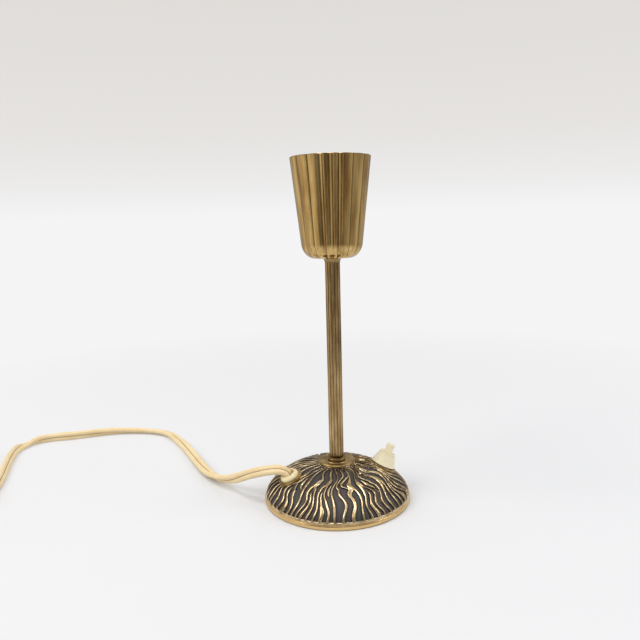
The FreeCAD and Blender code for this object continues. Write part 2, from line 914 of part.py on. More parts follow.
def contact_carrier():
    """Insulating disc with a raised rim that holds the contacts."""
    rim = carrier_radius - carrier_rim_width
    steps = [
        (carrier_radius, carrier_bottom),
        (carrier_radius, carrier_rim_top),
        (rim, carrier_rim_top),
        (rim, carrier_top),
        (0, carrier_top),
    ]
    disc = turned((0, carrier_bottom), steps)
    for side in (-1, 1):
        place = side * contact_offset
        disc = disc.cut(post(rivet_radius + thread_clearance, carrier_bottom, carrier_top, place))
    return disc


def riveted_terminal(place):
    """Rivet through the carrier with a terminal block below it."""
    half = V(terminal_width / 2, contact_width / 2, 0)
    low = V(place, 0, carrier_bottom - terminal_height) - half
    high = V(place, 0, carrier_bottom) + half
    return block(low, high).fuse(post(rivet_radius, carrier_bottom, carrier_top, place))


def contact_profile(corners):
    """Strip of the contact width from corners in the XZ plane."""
    face = outline_face(corners[0], corners[1:])
    face.translate(V(0, -contact_width / 2, 0))
    return face.extrude(V(0, contact_width, 0))


def centre_contact():
    """Springy tongue that meets the bulb's tip."""
    back = -contact_offset - contact_overhang
    knee = -contact_offset + contact_overhang
    tip_top = shell_bottom - contact_tip_gap
    strip_top = carrier_top + contact_strip
    corners = [
        (back, carrier_top),
        (knee, carrier_top),
        (0, tip_top - contact_strip),
        (contact_tip_width, tip_top - contact_strip),
        (contact_tip_width, tip_top),
        (-contact_strip / 2, tip_top),
        (knee - contact_strip / 2, strip_top),
        (back, strip_top),
    ]
    return contact_profile(corners).fuse(riveted_terminal(-contact_offset))


def side_contact():
    """Angled strip that meets the threaded shell's lower edge."""
    near = contact_offset - terminal_width / 2
    wall_out = shell_outer_radius
    wall_in = wall_out - contact_strip
    strip_top = carrier_top + contact_strip
    corners = [
        (near, carrier_top),
        (wall_out, carrier_top),
        (wall_out, carrier_rim_top),
        (wall_in, carrier_rim_top),
        (wall_in, strip_top),
        (near, strip_top),
    ]
    face = outline_face(corners[0], corners[1:])
    tab = contact_tip_width
    face.translate(V(0, -tab, 0))
    return face.extrude(V(0, tab * 2, 0)).fuse(riveted_terminal(contact_offset))


def threaded_shell():
    """Metal sleeve that takes the bulb's screw cap."""
    flange = carrier_radius - fit_gap
    flange_top = shell_bottom + shell_flange_thickness
    steps = [
        (flange, shell_bottom),
        (flange, flange_top),
        (shell_outer_radius, flange_top),
        (shell_outer_radius, shell_top),
        (shell_bore_radius, shell_top),
    ]
    return turned((shell_bore_radius, shell_bottom), steps)


def holder_skirt():
    """Moulded sleeve that screws down over the threaded shell."""
    wide = carrier_radius + fit_gap
    ledge = shell_bottom + shell_flange_thickness + fit_gap
    mouth = shell_outer_radius + fit_gap
    steps = [
        (holder_radius, skirt_bottom),
        (holder_radius, skirt_top),
        (mouth, skirt_top),
        (mouth, ledge),
        (wide, ledge),
    ]
    return turned((wide, skirt_bottom), steps)


def switch_washer():
    """Fibre washer under the switch cap."""
    ring = tube(bushing_radius + thread_clearance, switch_washer_radius, switch_boss_lift, cap_bottom)
    return seated(ring, switch_seat)


def switch_cap():
    """Moulded cone nut that holds the switch from outside."""
    shoulder = cap_radius - cap_lip_step
    rim = cap_top_radius - cap_rim_width
    hole = button_radius + button_hole_gap
    thread = bushing_radius + thread_clearance
    lip_top = cap_bottom + cap_lip_height
    steps = [
        (cap_radius, cap_bottom),
        (cap_radius, lip_top),
        (shoulder, lip_top),
        (cap_top_radius, cap_top - cap_rim_depth),
        (cap_top_radius, cap_top),
        (rim, cap_top),
        (rim, cap_top - cap_rim_depth),
        (hole, cap_top - cap_rim_depth),
        (hole, cap_roof_bottom),
        (thread, cap_roof_bottom),
    ]
    return seated(turned((thread, cap_bottom), steps), switch_seat)


def switch_bushing():
    """Threaded metal neck of the switch, bored to guide the button."""
    guide = plunger_radius + plunger_gap
    ledge_top = inner_face + bushing_ledge
    steps = [
        (bushing_tail_radius, body_roof),
        (bushing_tail_radius, inner_face),
        (bushing_radius, inner_face),
        (bushing_radius, bushing_top),
        (bushing_bore_radius, bushing_top),
        (bushing_bore_radius, ledge_top),
        (guide, ledge_top),
    ]
    return seated(turned((guide, body_roof), steps), switch_seat)


def switch_button():
    """Push button with its guide collar and plunger in one piece."""
    guide = bushing_bore_radius - button_collar_gap
    edge = button_radius - button_chamfer
    steps = [
        (plunger_radius, bridge_top),
        (plunger_radius, collar_bottom),
        (guide, collar_bottom),
        (guide, collar_top),
        (button_radius, collar_top),
        (button_radius, button_top - button_chamfer),
        (edge, button_top),
        (0, button_top),
    ]
    return seated(turned((0, bridge_top), steps), switch_seat)


def contact_bridge():
    """Metal disc on the plunger's end that joins the two fixed contacts."""
    return seated(post(bridge_radius, bridge_bottom, bridge_top), switch_seat)


def switch_spring():
    """Return spring round the plunger, between the neck's ledge and the button's collar."""
    radius = bushing_bore_radius - spring_side_gap - spring_wire_radius
    low = inner_face + bushing_ledge + spring_wire_radius + thread_clearance
    high = collar_bottom - spring_wire_radius - thread_clearance
    rise = (high - low) / spring_turns
    stations = []
    for k in range(spring_turns * QUARTERS + 1):
        angle = QUARTER_TURN * k
        way = polar(2 * math.pi * radius, angle + QUARTER_TURN, rise).normalize()
        stations.append((polar(radius, angle, low + rise * k / QUARTERS), way))
    wire = Part.Wire(wound_edges(stations))
    return seated(swept(wire, spring_wire_radius, "switch_spring"), switch_seat)


def switch_body():
    """Moulded body of the switch with its contact chamber and side slots."""
    chamber = switch_body_radius - switch_body_wall
    body = post(switch_body_radius, body_bottom, inner_face)
    body = body.cut(post(chamber, body_floor, body_roof))
    body = body.cut(post(bushing_tail_radius + thread_clearance, body_roof, inner_face))
    for side in (-1, 1):
        body = body.cut(contact_bar(side, slot_clearance))
    return seated(body, switch_seat)


def contact_bar(side, gap):
    """Flat bar from the contact chamber out through the body's wall."""
    half = contact_bar_width / 2 + gap
    near = side * contact_pad_inset
    far = side * terminal_reach
    low = V(-half, min(near, far), bar_top - contact_bar_thickness - gap)
    high = V(half, max(near, far), bar_top + gap)
    return block(low, high)


def switch_contacts():
    """Two fixed contacts, each a bar with a pad under the bridge."""
    contacts = []
    for side in (-1, 1):
        near = side * contact_pad_inset
        far = side * (contact_pad_inset + contact_bar_width / 2)
        half = contact_bar_width / 2
        pad = block(V(-half, min(near, far), bar_top), V(half, max(near, far), pad_top))
        contacts.append(contact_bar(side, 0).fuse(pad))
    return seated(Part.makeCompound(contacts), switch_seat)


def terminal_screws():
    """Small screws on the outer ends of the contact bars."""
    screws = []
    for side in (-1, 1):
        place = side * (terminal_reach - terminal_screw_radius)
        screws.append(post(terminal_screw_radius, bar_top, bar_top + terminal_screw_height, 0, place))
    return seated(Part.makeCompound(screws), switch_seat)


def flex_bushing():
    """Moulded domed bushing that the flex comes out of."""
    bore = flex_radius + bush_bore_gap
    shank_low = bush_boss_lift - bush_shank_length
    lip_top = bush_boss_lift + bush_lip_height
    top = bush_boss_lift + bush_flange_height
    mouth = bore + bush_mouth_flare
    mouth_low = top - bush_mouth_depth
    bulge = ((mouth + bush_flange_radius) / 2 + bush_lip_height / 2, (lip_top + top) / 2 + bush_lip_height / 2)
    throat = ((bore + bush_mouth_flare * bush_throat_share, (mouth_low + top) / 2), (bore, mouth_low))
    steps = [
        (bush_shank_radius, shank_low),
        (bush_shank_radius, bush_boss_lift),
        (bush_flange_radius, bush_boss_lift),
        (bush_flange_radius, lip_top),
        (bulge, (mouth, top)),
        throat,
    ]
    return seated(turned((bore, shank_low), steps), bush_seat)


def bushing_nut():
    """Ring nut that holds the bushing from inside."""
    bore = bush_shank_radius + thread_clearance
    ring = tube(bore, bush_nut_radius, inner_face - bush_nut_height, inner_face)
    return seated(ring, bush_seat)


def flex_tail_piece():
    """Sheathed end of the flex inside the bushing and just below it."""
    return seated(post(flex_radius, -flex_tail, -flex_entry_depth), bush_seat)


def core(points, name):
    """One insulated core along a routed path."""
    return swept(round_path(points, name), core_radius, name)


def flex_end(side, below):
    """Point at or below the flex's stripped end, on one core's axis."""
    return bush_seat.multVec(V(0, side * core_offset, -flex_tail - below))


def switch_terminal(side, beyond):
    """Point at or beyond the tip of a switch contact."""
    return switch_seat.multVec(V(0, side * (terminal_reach + beyond), bar_top - contact_bar_thickness / 2))


def stem_rise(side):
    """Points of a core that goes up the stem to its terminal under the contact carrier."""
    inner = side * core_offset
    outer = side * contact_offset
    end = carrier_bottom - terminal_height
    return [
        V(inner, 0, core_level),
        V(inner, 0, spigot_top + core_rise),
        V(outer, 0, end - terminal_height),
        V(outer, 0, end),
    ]


def neutral_core():
    """Core from the flex straight up the stem."""
    turn = polar(bush_radius * core_neutral_share, bush_angle, core_level)
    points = [flex_end(-1, 0), flex_end(-1, core_drop), turn] + stem_rise(-1)
    return core(points, "neutral_core")


def live_core():
    """Core from the flex round the front of the base to the switch."""
    points = [
        flex_end(1, 0),
        flex_end(1, core_drop),
        polar(bush_radius * core_live_share, core_live_angle, core_level),
        polar(bush_radius * core_turn_share, core_turn_angle, core_level),
        switch_terminal(-1, core_lead),
        switch_terminal(-1, 0),
    ]
    return core(points, "live_core")


def switched_core():
    """Core from the switch back up the stem."""
    turn = polar(switch_radius * core_back_share, core_back_angle, core_level)
    points = [switch_terminal(1, 0), switch_terminal(1, core_lead), turn] + stem_rise(1)
    return core(points, "switched_core")


def flex_points():
    """Route of the free flex, from inside the bushing to the coil."""
    start = bush_seat.multVec(V(0, 0, -flex_entry_depth))
    axis = bush_seat.Rotation.multVec(UP)
    lifted = start + axis * flex_bend_run
    lift = math.radians(flex_bend_lift)
    lean = polar(math.cos(lift), flex_bend_angle, math.sin(lift))
    return [start, lifted, lifted + lean * flex_bend_run] + flex_route


def flex_stretch():
    """Free flex as a plain tube over its route."""
    return swept(round_path(flex_points(), "flex_stretch"), flex_radius, "flex_stretch")


def coil_radius(turns):
    """Radius of the coil, counted in turns from its innermost point."""
    middle_turns = coil_layer_turns / 2
    return coil_middle_radius + coil_pitch * (abs(turns) - middle_turns)


def coil_centre():
    """Centre of the coil, beside the straight lead that ends the flex's route."""
    return flex_route[-1] - V(coil_radius(coil_layer_turns), flex_width, 0)


def coil_station(turns, radius, height, radius_rate, height_rate):
    """Point and direction on the coil, which winds clockwise seen from above."""
    angle = -FULL_TURN * (turns + coil_layer_turns)
    centre = coil_centre()
    point = polar(radius, angle, height) + V(centre.x, centre.y, 0)
    around = polar(2 * math.pi * radius, angle - QUARTER_TURN, 0)
    way = around + polar(radius_rate, angle, height_rate)
    return point, way.normalize()


def coil_stations():
    """Stations a quarter turn apart: in along the table, up a layer, out again and down."""
    stations = []
    for k in range(int(2 * coil_layer_turns * QUARTERS) + 1):
        turns = k / QUARTERS - coil_layer_turns
        side = (turns > 0) - (turns < 0)
        climb = min(max(turns / coil_climb_turns, -1), 1)
        height = flex_level + coil_pitch * (climb + 1) / 2
        climb_rate = coil_pitch / coil_climb_turns * coil_climb_rate_share if side == 0 else 0
        stations.append(coil_station(turns, coil_radius(turns), height, side * coil_pitch, climb_rate))
    return stations + coil_tail_stations()


def coil_tail_stations():
    """Stations of the last quarter turn, which leaves the upper layer for the plug's height."""
    outer = coil_radius(coil_layer_turns)
    top = flex_level + coil_pitch
    drop = top - plug_level()
    spread = coil_pitch * coil_tail_end_share
    middle_radius = outer + coil_pitch * coil_tail_mid_share
    middle_height = top - drop * coil_tail_drop_share
    middle = coil_station(coil_layer_turns + 1 / QUARTERS / 2, middle_radius, middle_height,
                          spread * QUARTERS, -drop * QUARTERS)
    end = coil_station(coil_layer_turns + 1 / QUARTERS, outer + spread, plug_level(), 0, 0)
    return [middle, end]


def plug_level():
    """Height of the plug's middle plane, where it lies on the table."""
    return plug_height / 2 + flex_floor_gap


def coil_end():
    """Point where the coil's tail meets the plug."""
    return coil_stations()[-1][0] - V(coil_lead, 0, 0)


def least_gap(wire, radius):
    """Least clear distance between parts of a tube that are over half a loop apart."""
    step = radius
    points = wire.discretize(Distance=step)
    apart = int(coil_radius(0) / step)
    least = min((a - b).Length for i, a in enumerate(points) for b in points[i + apart:])
    return least - 2 * radius


def flex_coil():
    """Put-away length of the flex: two layers, in along the table and out again on top."""
    stations = coil_stations()
    edges = [Part.LineSegment(flex_route[-1], stations[0][0]).toShape()]
    edges += wound_edges(stations)
    edges.append(Part.LineSegment(stations[-1][0], coil_end()).toShape())
    wire = Part.Wire(edges)
    print("flex_coil length %.1f" % wire.Length, "least gap %.2f" % least_gap(wire, flex_radius))
    return swept(wire, flex_radius, "flex_coil")


def plug_placement():
    """Frame of the plug: its X axis points from the flex to the pins."""
    return FreeCAD.Placement(coil_end(), FreeCAD.Rotation(UP, FULL_TURN / 2))


def plug_relief():
    """Tapered grooved strain relief behind the plug."""
    pitch = (relief_length - relief_socket_depth) / (relief_grooves + 1)
    width = pitch * relief_groove_share
    spread = relief_front_radius - relief_rear_radius
    cone = Part.makeCone(relief_rear_radius, relief_front_radius, relief_length, V(0, 0, 0), V(1, 0, 0))
    for k in range(relief_grooves):
        start = V(pitch * (k + 1) - width / 2, 0, 0)
        radius = relief_rear_radius + spread * start.x / relief_length - relief_groove_depth
        band = Part.makeCylinder(relief_front_radius, width, start, V(1, 0, 0))
        keep = Part.makeCylinder(radius, width, start, V(1, 0, 0))
        cone = cone.cut(band.cut(keep))
    return seated(cone, plug_placement())


def plug_outline():
    """Plan of the plug: narrow behind, wide where the pins are."""
    rear = relief_length - relief_socket_depth
    waist = rear + plug_length * plug_waist_share
    front = rear + plug_length
    half = [
        V(rear, plug_rear_width / 2, 0),
        V(waist, plug_front_width / 2, 0),
        V(front, plug_front_width / 2, 0),
    ]
    mirrored = [V(point.x, -point.y, 0) for point in half[::-1]]
    return half + mirrored


def plug_half(low, high):
    """One half of the plug's shell, with its pocket, pin holes and relief socket."""
    corners = plug_outline()
    slab = Part.Face(Part.makePolygon(corners + corners[:1])).extrude(V(0, 0, high - low))
    upright = [edge for edge in slab.Edges if edge.BoundBox.ZLength > edge.BoundBox.DiagonalLength / 2]
    slab = slab.makeFillet(plug_corner_radius, upright)
    slab.translate(V(0, 0, low))
    rear = relief_length - relief_socket_depth
    pocket_half = pin_spacing / 2 + pin_root_radius
    pocket_front = rear + plug_length - pin_root + plug_wall
    pocket_depth = plug_height / 2 - plug_wall
    pocket_rear = rear + plug_length * plug_waist_share
    pocket = block(V(pocket_rear, -pocket_half, -pocket_depth), V(pocket_front, pocket_half, pocket_depth))
    slab = slab.cut(pocket)
    for solid in plug_pin_solids(fit_gap / 2):
        slab = slab.cut(solid)
    socket = Part.makeCylinder(relief_front_radius, relief_socket_depth, V(rear, 0, 0), V(1, 0, 0))
    slab = slab.cut(socket)
    return slab


def plug_pin_solids(grow):
    """The two pins, from inside the shell to their tips."""
    front = relief_length - relief_socket_depth + plug_length
    pins = []
    for side in (-1, 1):
        start = V(front - pin_root, side * pin_spacing / 2, 0)
        root = Part.makeCylinder(pin_root_radius + grow, pin_root, start, V(1, 0, 0))
        free = Part.makeCylinder(pin_radius, pin_length, start + V(pin_root, 0, 0), V(1, 0, 0))
        pins.append(root.fuse(free))
    return pins


def plug_screw_solid(grow):
    """Screw that joins the plug's halves, behind the pocket."""
    place = relief_length + plug_screw_head_radius
    half = plug_height / 2
    head_low = half - plug_screw_head_height
    head = post(plug_screw_head_radius + grow, head_low, half, place)
    shank = post(plug_screw_radius + grow, -half + plug_wall, head_low, place)
    return head.fuse(shank)


def plug_lower():
    """Lower half of the plug's shell."""
    shell = plug_half(-plug_height / 2, 0).cut(plug_screw_solid(thread_clearance))
    return seated(shell, plug_placement())


def plug_upper():
    """Upper half of the plug's shell."""
    shell = plug_half(0, plug_height / 2).cut(plug_screw_solid(thread_clearance))
    return seated(shell, plug_placement())


def plug_screw():
    """Screw through both halves of the plug."""
    return seated(plug_screw_solid(0), plug_placement())


def plug_pins():
    """Two round mains pins."""
    return seated(Part.makeCompound(plug_pin_solids(0)), plug_placement())


NODES = {
    "base_casting": base_casting,
    "base_plate": base_plate,
    "felt_pad": felt_pad,
    "plate_screws": plate_screws,
    "stem_disc": stem_disc,
    "foot_ring": foot_ring,
    "stem_tube": stem_tube,
    "base_washer": lambda: washer(boss_bottom - washer_thickness),
    "base_nut": lambda: nut(boss_bottom - washer_thickness - nut_height),
    "neck_collar": neck_collar,
    "cup": cup,
    "cup_washer": lambda: washer(cup_floor),
    "cup_nut": lambda: nut(cup_floor + washer_thickness),
    "holder_base": holder_base,
    "holder_insert": holder_insert,
    "holder_grub_screw": lambda: grub_cylinder(grub_radius),
    "contact_carrier": contact_carrier,
    "centre_contact": centre_contact,
    "side_contact": side_contact,
    "threaded_shell": threaded_shell,
    "holder_skirt": holder_skirt,
    "switch_washer": switch_washer,
    "switch_cap": switch_cap,
    "switch_bushing": switch_bushing,
    "switch_button": switch_button,
    "contact_bridge": contact_bridge,
    "switch_spring": switch_spring,
    "switch_body": switch_body,
    "switch_contacts": switch_contacts,
    "terminal_screws": terminal_screws,
    "flex_bushing": flex_bushing,
    "bushing_nut": bushing_nut,
    "flex_tail_piece": flex_tail_piece,
    "neutral_core": neutral_core,
    "live_core": live_core,
    "switched_core": switched_core,
    "flex_stretch": flex_stretch,
    "flex_coil": flex_coil,
    "plug_relief": plug_relief,
    "plug_lower": plug_lower,
    "plug_upper": plug_upper,
    "plug_screw": plug_screw,
    "plug_pins": plug_pins,
}

os.makedirs("parts", exist_ok=True)
for node, make in NODES.items():
    shape = make()
    box = shape.BoundBox
    print("%-18s solids %d valid %s volume %9.1f  x %7.1f %7.1f  y %7.1f %7.1f  z %6.1f %6.1f" % (
        node, len(shape.Solids), shape.isValid(), shape.Volume,
        box.XMin, box.XMax, box.YMin, box.YMax, box.ZMin, box.ZMax))
    shape.exportStep("parts/" + node + ".step")

print("switch axis", switch_seat.Rotation.multVec(UP), "origin", switch_seat.Base)
print("bushing axis", bush_seat.Rotation.multVec(UP), "origin", bush_seat.Base)
print("flex start", flex_points()[0], "coil centre", coil_centre(), "coil end", coil_end())
print("threaded shell", shell_bottom, shell_top, "skirt top", skirt_top, "cup", cup_bottom, cup_top)
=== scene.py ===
import json
import math

import bmesh
import bpy
import numpy as np
from mathutils import Matrix, Vector, noise


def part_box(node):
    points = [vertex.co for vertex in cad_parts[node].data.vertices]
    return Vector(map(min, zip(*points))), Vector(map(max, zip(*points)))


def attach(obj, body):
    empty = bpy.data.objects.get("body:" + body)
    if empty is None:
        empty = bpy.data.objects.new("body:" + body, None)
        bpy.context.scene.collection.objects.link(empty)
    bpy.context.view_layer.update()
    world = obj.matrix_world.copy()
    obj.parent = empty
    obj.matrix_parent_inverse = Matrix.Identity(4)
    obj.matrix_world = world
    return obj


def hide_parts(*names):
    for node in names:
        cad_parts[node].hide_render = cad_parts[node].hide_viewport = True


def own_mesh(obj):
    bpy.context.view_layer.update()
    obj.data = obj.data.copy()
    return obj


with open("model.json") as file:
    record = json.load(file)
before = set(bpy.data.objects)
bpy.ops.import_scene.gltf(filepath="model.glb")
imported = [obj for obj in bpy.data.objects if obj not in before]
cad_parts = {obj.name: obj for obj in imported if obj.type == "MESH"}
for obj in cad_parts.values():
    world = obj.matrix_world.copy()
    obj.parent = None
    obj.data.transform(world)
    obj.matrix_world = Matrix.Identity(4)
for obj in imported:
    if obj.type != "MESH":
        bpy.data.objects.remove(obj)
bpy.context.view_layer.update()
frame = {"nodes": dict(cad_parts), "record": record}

# Looks of a small brass candle lamp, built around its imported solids. Lengths are in metres.
MM = 0.001
FULL_TURN = 360
UP = Vector((0, 0, 1))

# Camera, as fitted to the photograph
camera_place = Vector((0, -408.6 * MM, 193.6 * MM))
camera_pitch = 9.64
camera_yaw = -1.267
camera_roll = -1.46
focal_share = 625 / 640
sensor_width = 36
camera_clip = 10 * MM

# Dome, relief and rim of the base
base_radius = 50 * MM
dome_foot = 3.4 * MM
dome_radius = 49.4 * MM
dome_rise = 22.4 * MM
dome_wall = 3 * MM
spread_power = 1.89
drop_power = 1.67
dome_samples = 600
seat_radius = 11.5 * MM
seat_top = 25.8 * MM
bore_radius = 4.05 * MM
boss_radius = 9 * MM
boss_bottom = 20.8 * MM
relief_depth = 0.95 * MM
relief_wall = 0.26 * MM
relief_row = 0.36 * MM
relief_start = 0.9 * MM
relief_margin = 1.5 * MM
end_wall = 0.25 * MM
ridge_top_width = 0.42 * MM
ridge_foot_width = 0.85 * MM
ridge_land = 0.32 * MM
sliver = 0.006 * MM
ridge_least = 0.018 * MM
channel_least = 0.042 * MM
seat_round = 0.2 * MM
foot_steps = (0, 0.25 * MM, 0.7 * MM, 1 * MM)
full_width = 0.9 * MM
depth_power = 0.8
ridge_sharp_width = 0.4 * MM
ridge_crown = 0.14 * MM
ridge_crown_width = 2 * MM
ridge_shoulder = 0.03 * MM
land_gap_share = 0.1
wall_share = 0.34
paint_width = 0.6 * MM
paint_edge_share = 0.25
# Depth and floor colour of a channel at its foot, its flank and its middle
# A floor colour of 0 is black, patina and painted shade along the walls; 1 is the patina's own tint
slope_share = 0.3
depth_shares = (1, 0.88, 0.78)
floor_shares = (0.15, 0.85, 1)
lump_size = 2.2 * MM
lump_depth = 0.1 * MM
inner_rows = 14
# Rim from the relief's foot down, in and up over the base plate to the hollow: radius and height in
# millimetres, and how dark the metal is
rim_outline = (
    (49.38, 3.4, 0), (49.6, 3.1, 0), (49.86, 2.7, 0), (50, 2.3, 0), (50, 0.6, 0), (49.8, 0.4, 0),
    (47.7, 0.4, 0.6), (47.7, 2.2, 1), (46.4, 2.2, 1))
# Marks that the cast metal's material reads: plain metal inside, the rim's paler metal, channel floors
plain_tint = 0.45
rim_tint = 2
rim_tint_limit = 1.5
rim_rows = 6
least_patina = 0.3
# Lanes that run all the way down, in groups of a fixed angle, and what opens after each lane:
# its form, and the share of the way down where it starts
relief_lanes = (3, 2, 3, 4, 3, 2, 3, 3, 2, 3, 3)
relief_gap_shares = (
    ("single", 0.45), ("arch", 0.5), ("leaf", 0.3), ("arch", 0.42), ("none", 0), ("single", 0.55),
    ("arch", 0.46), ("leaf", 0.22), ("single", 0.4), ("arch", 0.52), ("none", 0), ("arch", 0.44),
    ("leaf", 0.35), ("single", 0.5), ("arch", 0.55), ("lozenge", 0.25), ("none", 0), ("single", 0.38),
    ("arch", 0.48), ("leaf", 0.28), ("arch", 0.45), ("arch", 0.4), ("leaf", 0.33), ("none", 0),
    ("lozenge", 0.22), ("arch", 0.46), ("leaf", 0.3), ("single", 0.52), ("arch", 0.44), ("leaf", 0.26),
    ("single", 0.36),
)
# Each form's ridges and channels: how much each ridge swells, then in shares of the way from the
# start where the ridge grows, ends and is widest, where the channel opens and ends, and its weight
relief_swellings = {
    "leaf": (0.7 * MM,),
    "single": (1.1 * MM,),
    "arch": (1.1 * MM, 1.5 * MM),
    "lozenge": (1 * MM, 1.6 * MM),
}
relief_form_shares = {
    "leaf": ((0, 0.3, 0.15, -0.03, 0.33, 0.8),),
    "single": ((-0.2, 2, -0.02, 0, 2, 1),),
    "arch": ((-0.2, 2, -0.02, 0, 2, 0.8), (0.05, 2, 0.42, 0, 2, 0.8)),
    "lozenge": ((-0.15, 2, 0.12, 0, 0.24, 1.5), (0, 2, 0.2, 0.26, 2, 1)),
}
lane_shares = (-1, 2, 0.5, -1, 2, 1)
ridge_grow_share = 0.16
ridge_swell_share = 0.11
channel_open_share = 0.15
channel_close_share = 0.12
ridge_limit_share = 0.5
warp_bend_share = 0.8
phase_step_share = 2.4
sway_phase_share = 2.3
sway_rate_share = 1.6
ridge_sway_rate = 14
channel_sway_rate = 9
ridge_sway_share = 0.22
channel_sway_share = 0.3
warp_reach = 1.2 * MM
warp_rim_reach = 0.25 * MM
warp_wave_shares = ((5, 8.5, 0.4), (8, 6, 2.1), (3, 12, 4))

# Seats of the switch and of the flex bushing on the dome, and the holes that are cut there
switch_place_share = 0.67
switch_angle = 15.5
switch_cut_radius = 8.4 * MM
bush_place_share = 0.666
bush_angle = 200
bush_cut_radius = 6.6 * MM
cut_depth = 16 * MM
cut_height = 10 * MM

# Sides of the turned pieces, and angles over which edges stay sharp
turned_sides = 96
disc_sides = 128
bush_sides = 80
small_sides = 64
hole_sides = 48
pin_sides = 40
dome_sharp = 80
flex_sharp = 75
ring_sharp = 60
small_sharp = 50
bush_sharp = 45
turned_sharp = 40
stem_sharp = 32
cup_sharp = 24

# Turned pieces on the lamp's axis: outlines as radius and height in millimetres, and their corners' radii
disc_outline = (
    (4.05, 25.8), (12.2, 25.8), (12.5, 26.1), (12.5, 26.55), (12.05, 26.9), (8.6, 26.9), (8.4, 26.62),
    (7.6, 26.62), (7.4, 26.9), (4.05, 26.9))
disc_rounds = (0, 0.1, 0.1, 0.15, 0.2, 0.1, 0.1, 0.1, 0.1, 0)
foot_ring_outline = (
    (4.05, 26.9), (5.6, 26.9), (6.1, 27.3), (6.2, 28.2), (6.05, 28.8), (5.75, 28.95), (5.75, 29.1),
    (5.9, 29.25), (5.85, 29.6), (5.5, 29.7), (4.05, 29.7))
collar_flare = [(5 + 1.3 * share ** 1.7, 162.3 + 3 * share) for share in np.linspace(0, 0.9, 8)]
collar_outline = ((4.05, 162.3), *collar_flare, (6.3, 165.15), (6.2, 165.3), (4.05, 165.3))

# Turned pieces on their seats, in the same way: pads, cap nut, button, plug's boot and pins
switch_pad_outline = ((5.05, -4), (9.6, -4), (9.6, 0.3), (5.05, 0.3))
flex_pad_outline = ((4.9, -4), (8.25, -4), (8.25, 1), (4.9, 1))
pad_rounds = (0, 0, 0.35, 0)
cap_outline = (
    (5.05, 0.8), (8.75, 0.8), (8.75, 1.5), (8.4, 1.6), (5.62, 8.85), (5.75, 9), (5.75, 9.5), (4.75, 9.5),
    (4.65, 9.1), (2.95, 9.1), (2.95, 7.5), (5.05, 7.5))
cap_rounds = (0, 0.15, 0.2, 0.1, 0.1, 0.1, 0.2, 0.12, 0.05, 0.08, 0, 0)
button_outline = (
    (1.6, -7.8), (1.6, 5.92), (3.32, 5.92), (3.32, 7.42), (2.8, 7.42), (2.8, 15.3), (2.72, 15.62),
    (2.5, 15.85), (2.2, 15.97), (1.6, 16), (0.2, 16))
boot_start_outline = ((1.5, 0.5), (3.2, 0.3), (4.1, 0))
boot_ring_outline = ((4.5, 0.2), (4.6, 1.7), (4.25, 2), (3.95, 2.15), (3.95, 3.2))
boot_end_outline = ((5.5, 17.2), (5.5, 19.8), (1.5, 19.8))
boot_rings = 5
boot_first = 0.3
boot_pitch = 3.4
boot_spread_share = 0.055
pin_outline = (
    (2.5, 40.2), (2.5, 48.9), (2, 49), (2, 66.6), (1.9, 67.2), (1.6, 67.7), (1.1, 67.95), (0.3, 68))
pin_side = 9.5 * MM

# Flex bushing, in millimetres from its seat
bush_radius = 6.25
bush_low = 1
bush_high = 4.4
bush_slope = 0.35
bush_round = 1.35
bush_round_share = 0.35
bush_mouth_radius = 4.62
bush_mouth_flare = 0.85
bush_mouth_depth = 2.2
bush_first_share = 0.12
bush_dome_rows = 10
bush_mouth_rows = 6
bush_foot_outline = ((3.7, -7), (4.8, -7), (4.8, 1), (6.15, 1))

# Cup
cup_ribs = 16
cup_bottom = 165.3 * MM
cup_height = 64.1 * MM
cup_mouth_radius = 26 * MM
cup_shoulder_radius = 20.1 * MM
cup_shoulder_height = 9.9 * MM
cup_floor_radius = 12.5 * MM
cup_floor_wall = 2 * MM
cup_wall = 1.5 * MM
cup_valley_share = 0.97
shoulder_power = 1.8
rib_columns = 18
cup_lip_round = 0.45 * MM
cup_sole_radius = 6.2 * MM
cup_lip_turns = (30, 60, 90)
# How far in and down the lip's inner edge goes
cup_edge = ((0.3 * MM, 0), (0.06 * MM, 0.12 * MM), (0, 0.4 * MM))
cup_shoulder_rows = 12
cup_wall_rows = 31
inner_wall_rows = 9
inner_shoulder_rows = 8
cup_lip_dirt = 0.85
cup_inner_dirt = 0.2
cup_floor_dirt = 0.35

# Stem
stem_reeds = 14
stem_bottom = 29.7 * MM
stem_top = 162.3 * MM
stem_radius = 5 * MM
stem_valley_share = 0.93
reed_columns = 12
stem_end_round = 0.8 * MM
valley_fade_power = 7
stem_bore_radius = 2.8 * MM
spigot_radius = 4 * MM
end_inset_share = 0.6
end_reach_share = 1.6
stem_end_rows = 7
stem_first_share = 0.04
stem_rows = 26

# Threaded sleeve of the lampholder
sleeve_radius = 7 * MM
sleeve_wall = 0.35 * MM
sleeve_flange_radius = 9.2 * MM
sleeve_flange_height = 0.7 * MM
thread_pitch = 2.82 * MM
thread_depth = 0.7 * MM
sleeve_top_fade = 0.8 * MM
sleeve_low_fade = 1.5 * MM
sleeve_columns = 72
sleeve_rows = 60

# Return spring of the switch
spring_radius = 2.8 * MM
spring_wire = 0.25 * MM
spring_low = -2.7 * MM
spring_high = 5.62 * MM
spring_turns = 7
spring_steps = 24
spring_sides = 10

